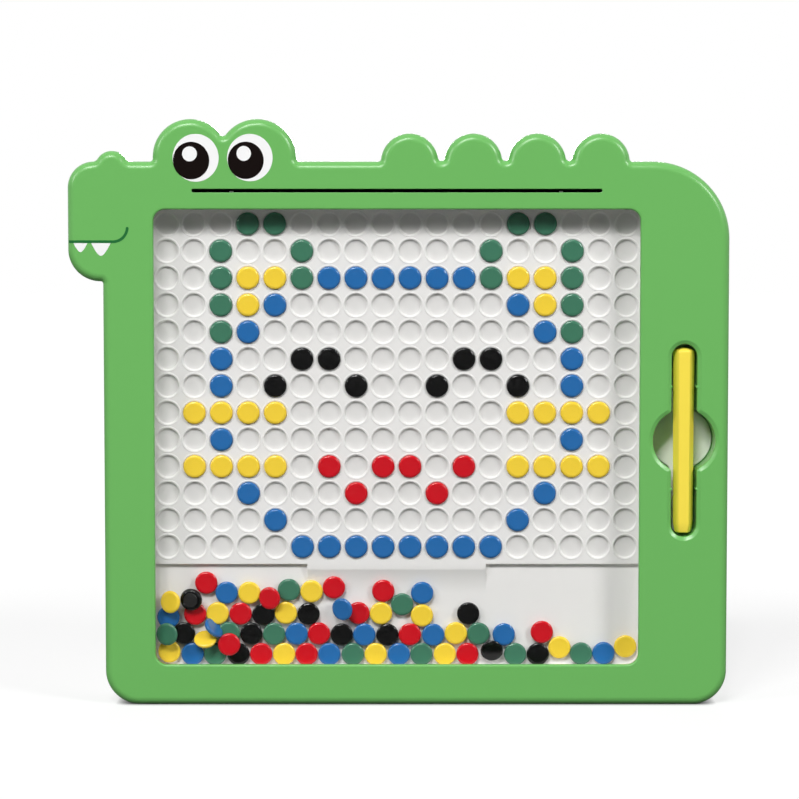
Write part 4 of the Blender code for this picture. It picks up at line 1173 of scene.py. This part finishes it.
def build_pen():
    """The pen from the bottom of its bore, over the foot and up the barrel to the domed top."""
    flat = cos(pi / 6) / 2
    foot, apothem = PEN_NOSE_WIDTH * flat, PEN_WIDTH * flat
    bore = MAGNET_DIAMETER / 2 + GAP / 3
    depth = PLUG_LENGTH + MAGNET_LENGTH + 2 * GAP
    angles = [atan2(y - PEN_Y, x - PEN_X) for x, y, z in hexagon(foot, PEN_FOOT)]
    rings = []
    for radius, height in ((bore, depth), (bore, GAP / 2), (bore + GAP / 2, 0)):
        z = PEN_FOOT + height
        rings.append([(PEN_X + radius * cos(a), PEN_Y + radius * sin(a), z) for a in angles])
    for across, along in quarter_turn(6):
        rings.append(hexagon(foot - PEN_FOOT_ROUND * across, PEN_FOOT + PEN_FOOT_ROUND * along))
    for share in (0.25, 0.5, 0.75, 1):
        width = PEN_NOSE_WIDTH + (PEN_FOOT_WIDTH - PEN_NOSE_WIDTH) * sin(share * pi / 2)
        rings.append(hexagon(width * flat, PEN_FOOT + PEN_NOSE_LENGTH * (0.2 + 0.8 * share)))
    start, end = PEN_FOOT + PEN_NOSE_LENGTH, PEN_TOP - 4 * PEN_TOP_ROUND
    for share in (0.35, 0.7, 1):
        width = PEN_FOOT_WIDTH + (PEN_WIDTH - PEN_FOOT_WIDTH) * share
        rings.append(hexagon(width * flat, start + (end - start) * share))
    top, turns = PEN_TOP_ROUND, quarter_turn(5)
    edge = [(1 - top * along / apothem, top * across) for across, along in turns]
    for scale, drop in edge + [(0.7, 0), (0.5, 0), (0.3, 0), (0.12, 0)]:
        ring = []
        for x, y, z in hexagon(apothem, PEN_TOP):
            across, deep = (x - PEN_X) * scale, (y - PEN_Y) * scale
            fall = PEN_DOME_RADIUS - sqrt(PEN_DOME_RADIUS**2 - across**2 - deep**2)
            ring.append((PEN_X + across, PEN_Y + deep, z - fall - drop))
        rings.append(ring)
    add_piece("hexagonal_pen", skin("hexagonal_pen", rings), "pen", "pen", ["pen_barrel"], "yellow_pen")

    radius = MAGNET_DIAMETER / 2
    plug = [(0, PLUG_LENGTH), (radius, PLUG_LENGTH), (radius, GAP / 2), (radius - GAP / 2, 0)]
    mesh = turned("pen_end_plug", plug + [(radius * 0.3, 0), (0, GAP / 2)])
    matrix = Matrix.Translation((PEN_X, PEN_Y, PEN_FOOT))
    add_piece("pen_end_plug", mesh, "pen", "pen", ["pen_plug"], "yellow_pen", matrix)


# Back cover and screws


def screw_places():
    left = (NECK + GRID_X - CHAMBER_WIDTH / 2 - TRAY_WALL) / 2
    low = SIDE_CORNER_RADIUS - SHELL_WALL
    sill = (SHELL_WALL + TRAY_SILL - TRAY_WALL) / 2
    eyes = LEFT + (LEFT_EYE_FROM_TIP + RIGHT_EYE_FROM_TIP) / 2
    under_bump = BACK_HEIGHT - SHELL_WALL
    return [
        (left, low),
        (WINDOW_X, sill),
        (PEN_X, low),
        (left, WINDOW_MIDDLE),
        (left, BACK_HEIGHT - SNOUT_OVERHANG - SHELL_WALL),
        (eyes, under_bump),
        (HUMP_PLACES[HUMP_COUNT // 2], under_bump),
        (PEN_X, BACK_HEIGHT - SHOULDER_RADIUS - SCREW_EDGE_MARGIN),
    ]


def build_cover():
    inset, edge = SHELL_WALL + GAP, COVER_EDGE_RADIUS
    stations = [(-inset, COVER_FRONT)]
    for across, along in quarter_turn(EDGE_STEPS):
        stations.append((-inset - edge * along, BACK - edge * across))
    cover = loft("back_plate", board_outline(), stations)
    sink_front = COVER_FRONT - SINK_DEPTH
    seat = sink_front + SINK_FLOOR
    head = SCREW_HEAD_DIAMETER / 2 + GAP
    hole = SCREW_SHANK_DIAMETER / 2 + GAP
    sink = [(edge * along, BACK - edge * across) for across, along in quarter_turn(4)]
    sink = [(0, seat), *sink, (edge, BACK + OVERRUN)]
    places = screw_places()
    steps = []
    for place in places:
        cup = prism("cup", circle(place, head + SINK_WALL), sink_front, COVER_FRONT + GAP)
        steps.append(("UNION", cup))
    for place in places:
        bore = prism("bore", circle(place, hole), sink_front - OVERRUN, seat + OVERRUN)
        steps += [("DIFFERENCE", loft("sink", circle(place, head), sink)), ("DIFFERENCE", bore)]
    top = COVER_FRONT - HOLLOW_FLOOR_RISE
    raised = [(-2 * GAP, top), (-GAP, top + GAP), (-GAP, COVER_FRONT + GAP)]
    steps.append(("UNION", loft("hollow_floor", recess_outline(), raised)))
    pen_back = PEN_Y + PEN_ACROSS_FLATS / 2
    for side in (-1, 1):
        z = PEN_MIDDLE + side * CRADLE_SPACING / 2
        low = (PEN_X - CRADLE_WIDTH / 2, pen_back + GAP, z - CRADLE_LENGTH / 2)
        high = (PEN_X + CRADLE_WIDTH / 2, COVER_FRONT + GAP, z + CRADLE_LENGTH / 2)
        steps.append(("UNION", boxes("cradle", [(low, high)])))
    add_piece("back_plate", carved(cover, steps), "cover", stands_for=["back_cover"], slot="white_cover")
    build_screws(places, seat + GAP)


def build_screws(places, seat):
    """Domed screws with their threads and crosses, each turned another way."""
    head, shank = SCREW_HEAD_DIAMETER / 2, SCREW_SHANK_DIAMETER / 2
    profile = []
    for across, along in quarter_turn(8):
        profile.append((head * (1 - across), SCREW_HEAD_HEIGHT * (0.35 + 0.65 * (1 - along) ** 0.8)))
    profile += [(head, 0), (shank, 0)]
    pitch = (SCREW_SHANK_LENGTH - 2 * shank) / SCREW_THREADS
    for turn in range(SCREW_THREADS):
        z = -pitch * (turn + 0.5)
        profile += [(shank, z + pitch / 4), (shank * 0.78, z), (shank, z - pitch / 4)]
    profile += [(shank, shank - SCREW_SHANK_LENGTH), (0, -SCREW_SHANK_LENGTH)]
    arm, width, depth = head * 0.62, head * 0.17, SCREW_HEAD_HEIGHT * 0.8
    steps = []
    for long_x, long_y in ((arm, width), (width, arm)):
        low = (-long_x, -long_y, SCREW_HEAD_HEIGHT - depth)
        high = (long_x, long_y, SCREW_HEAD_HEIGHT + GAP)
        steps.append(("DIFFERENCE", boxes("cross", [(low, high)])))
    screw = carved(turned("screw", profile), steps)
    for number, (x, z) in enumerate(places, start=1):
        matrix = Matrix.Translation((x, seat, z)) @ Matrix.Rotation(radians(-90), 4, "X")
        matrix = matrix @ Matrix.Rotation(radians(17 + 40 * number), 4, "Z")
        node = f"case_screw_{number}"
        add_piece(f"cross_screw_{number}", screw, "steel", "board", [node], "screw_steel", matrix)


def dress_kept_nodes():
    """Materials for the CAD nodes whose shapes are right as they are."""
    kept = {"window_pane": "pane", "magnetic_sheet": "rubber", "pen_magnet": "magnet"}
    for name, material in kept.items():
        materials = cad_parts[name].data.materials
        materials.clear()
        materials.append(MATERIALS[material])


# Floor, light and camera


def build_stage():
    """A pale floor that keeps the board's shadow, shows white to the camera elsewhere, and has a painted
    contact shadow under the board.
    """
    bm = bmesh.new()
    corners = ((-1, -1), (1, -1), (1, 1), (-1, 1))
    bm.faces.new([bm.verts.new((x * FLOOR_REACH, y * FLOOR_REACH, 0)) for x, y in corners])
    floor = add_object("studio_floor", new_mesh("studio_floor", bm))
    material, tree, paper = new_material("floor_paper")
    # Painted contact shadow: the camera's white glow dims by ambient occlusion where the board stands close
    contact_shade = add_node(tree, "AmbientOcclusion", {"Distance": CONTACT_SHADE_REACH}).outputs["AO"]
    glow = calculate(tree, "MULTIPLY", contact_shade, FLOOR_GLOW)
    white = add_node(tree, "Emission", {"Strength": glow}).outputs["Emission"]
    away = add_node(tree, "VectorMath", {0: own_place(tree)}, operation="LENGTH").outputs["Value"]
    level = map_range(tree, away, SHADOW_FADE, (1 - SHADOW_SHARE, 1), "SMOOTHSTEP")
    camera = add_node(tree, "LightPath").outputs["Is Camera Ray"]
    tone = mix_colours(tree, camera, [FLOOR_BOUNCE] * 3 + [1], [PAPER_WHITE] * 3 + [1])
    feed(tree, paper, {"Base Color": tone, "Roughness": 0.9, "Specular IOR Level": 0})
    share = calculate(tree, "MULTIPLY", camera, level)
    both = mix_shaders(tree, share, paper.outputs["BSDF"], white)
    feed(tree, tree.nodes["Material Output"], {"Surface": both})
    floor.data.materials.append(material)


def add_lamp(name, direction, size, power):
    """A soft square lamp that shines at the board's middle from a direction in degrees."""
    azimuth, elevation = map(radians, direction)
    ray = Vector((sin(azimuth) * cos(elevation), -cos(azimuth) * cos(elevation), sin(elevation)))
    data = bpy.data.lights.new(name, "AREA")
    data.shape = "SQUARE"
    data.size = size
    data.energy = power
    lamp = add_object(name, data)
    lamp.location = Vector(LAMP_TARGET) + ray * LAMP_DISTANCE
    lamp.rotation_euler = ray.to_track_quat("Z", "Y").to_euler()


def build_world():
    """White walls that gloss shows and that light the board from behind, and a white view."""
    world = bpy.data.worlds.new("studio")
    bpy.context.scene.world = world
    world.use_nodes = True
    tree = world.node_tree
    tree.nodes.clear()
    place = add_node(tree, "TexCoord").outputs["Generated"]
    lens = add_node(tree, "VectorMath", {0: place, 1: (0, -1, 0)}, operation="DOT_PRODUCT").outputs["Value"]
    gloss = map_range(tree, lens, GLOSS_FADE, (1, LENS_SIDE_SHARE), "SMOOTHSTEP")
    light = map_range(tree, lens, LIGHT_FADE, (1, LENS_SIDE_SHARE), "SMOOTHSTEP")
    rays = add_node(tree, "LightPath").outputs
    gloss = calculate(tree, "MULTIPLY", rays["Is Glossy Ray"], gloss)
    clear = calculate(tree, "MAXIMUM", rays["Is Camera Ray"], rays["Is Transmission Ray"])
    share = calculate(tree, "MAXIMUM", clear, gloss)
    fill, white = [
        add_node(tree, "Background", {"Color": (1, 1, 1, 1), "Strength": strength}).outputs["Background"]
        for strength in (calculate(tree, "MULTIPLY", light, WALL_LIGHT), 1)
    ]
    add_node(tree, "OutputWorld", {"Surface": mix_shaders(tree, share, fill, white)})


def build_camera():
    """The photograph's view: nearly level, from far off, and just above the board's back."""
    data = bpy.data.cameras.new("camera")
    data.lens = CAMERA_LENS
    data.sensor_width = 36
    data.clip_end = 50
    camera = add_object("camera", data)
    camera.location = CAMERA_PLACE
    camera.rotation_euler = (radians(CAMERA_TILT), 0, 0)
    bpy.context.scene.camera = camera


build_camera()
build_shell()
shade_slot()
build_eyes()
build_mouth()
build_tray()
build_discs()
build_pen()
build_cover()
dress_kept_nodes()
build_stage()
build_world()
for lamp in LAMPS:
    add_lamp(*lamp)
bpy.context.scene.view_settings.view_transform = "Standard"
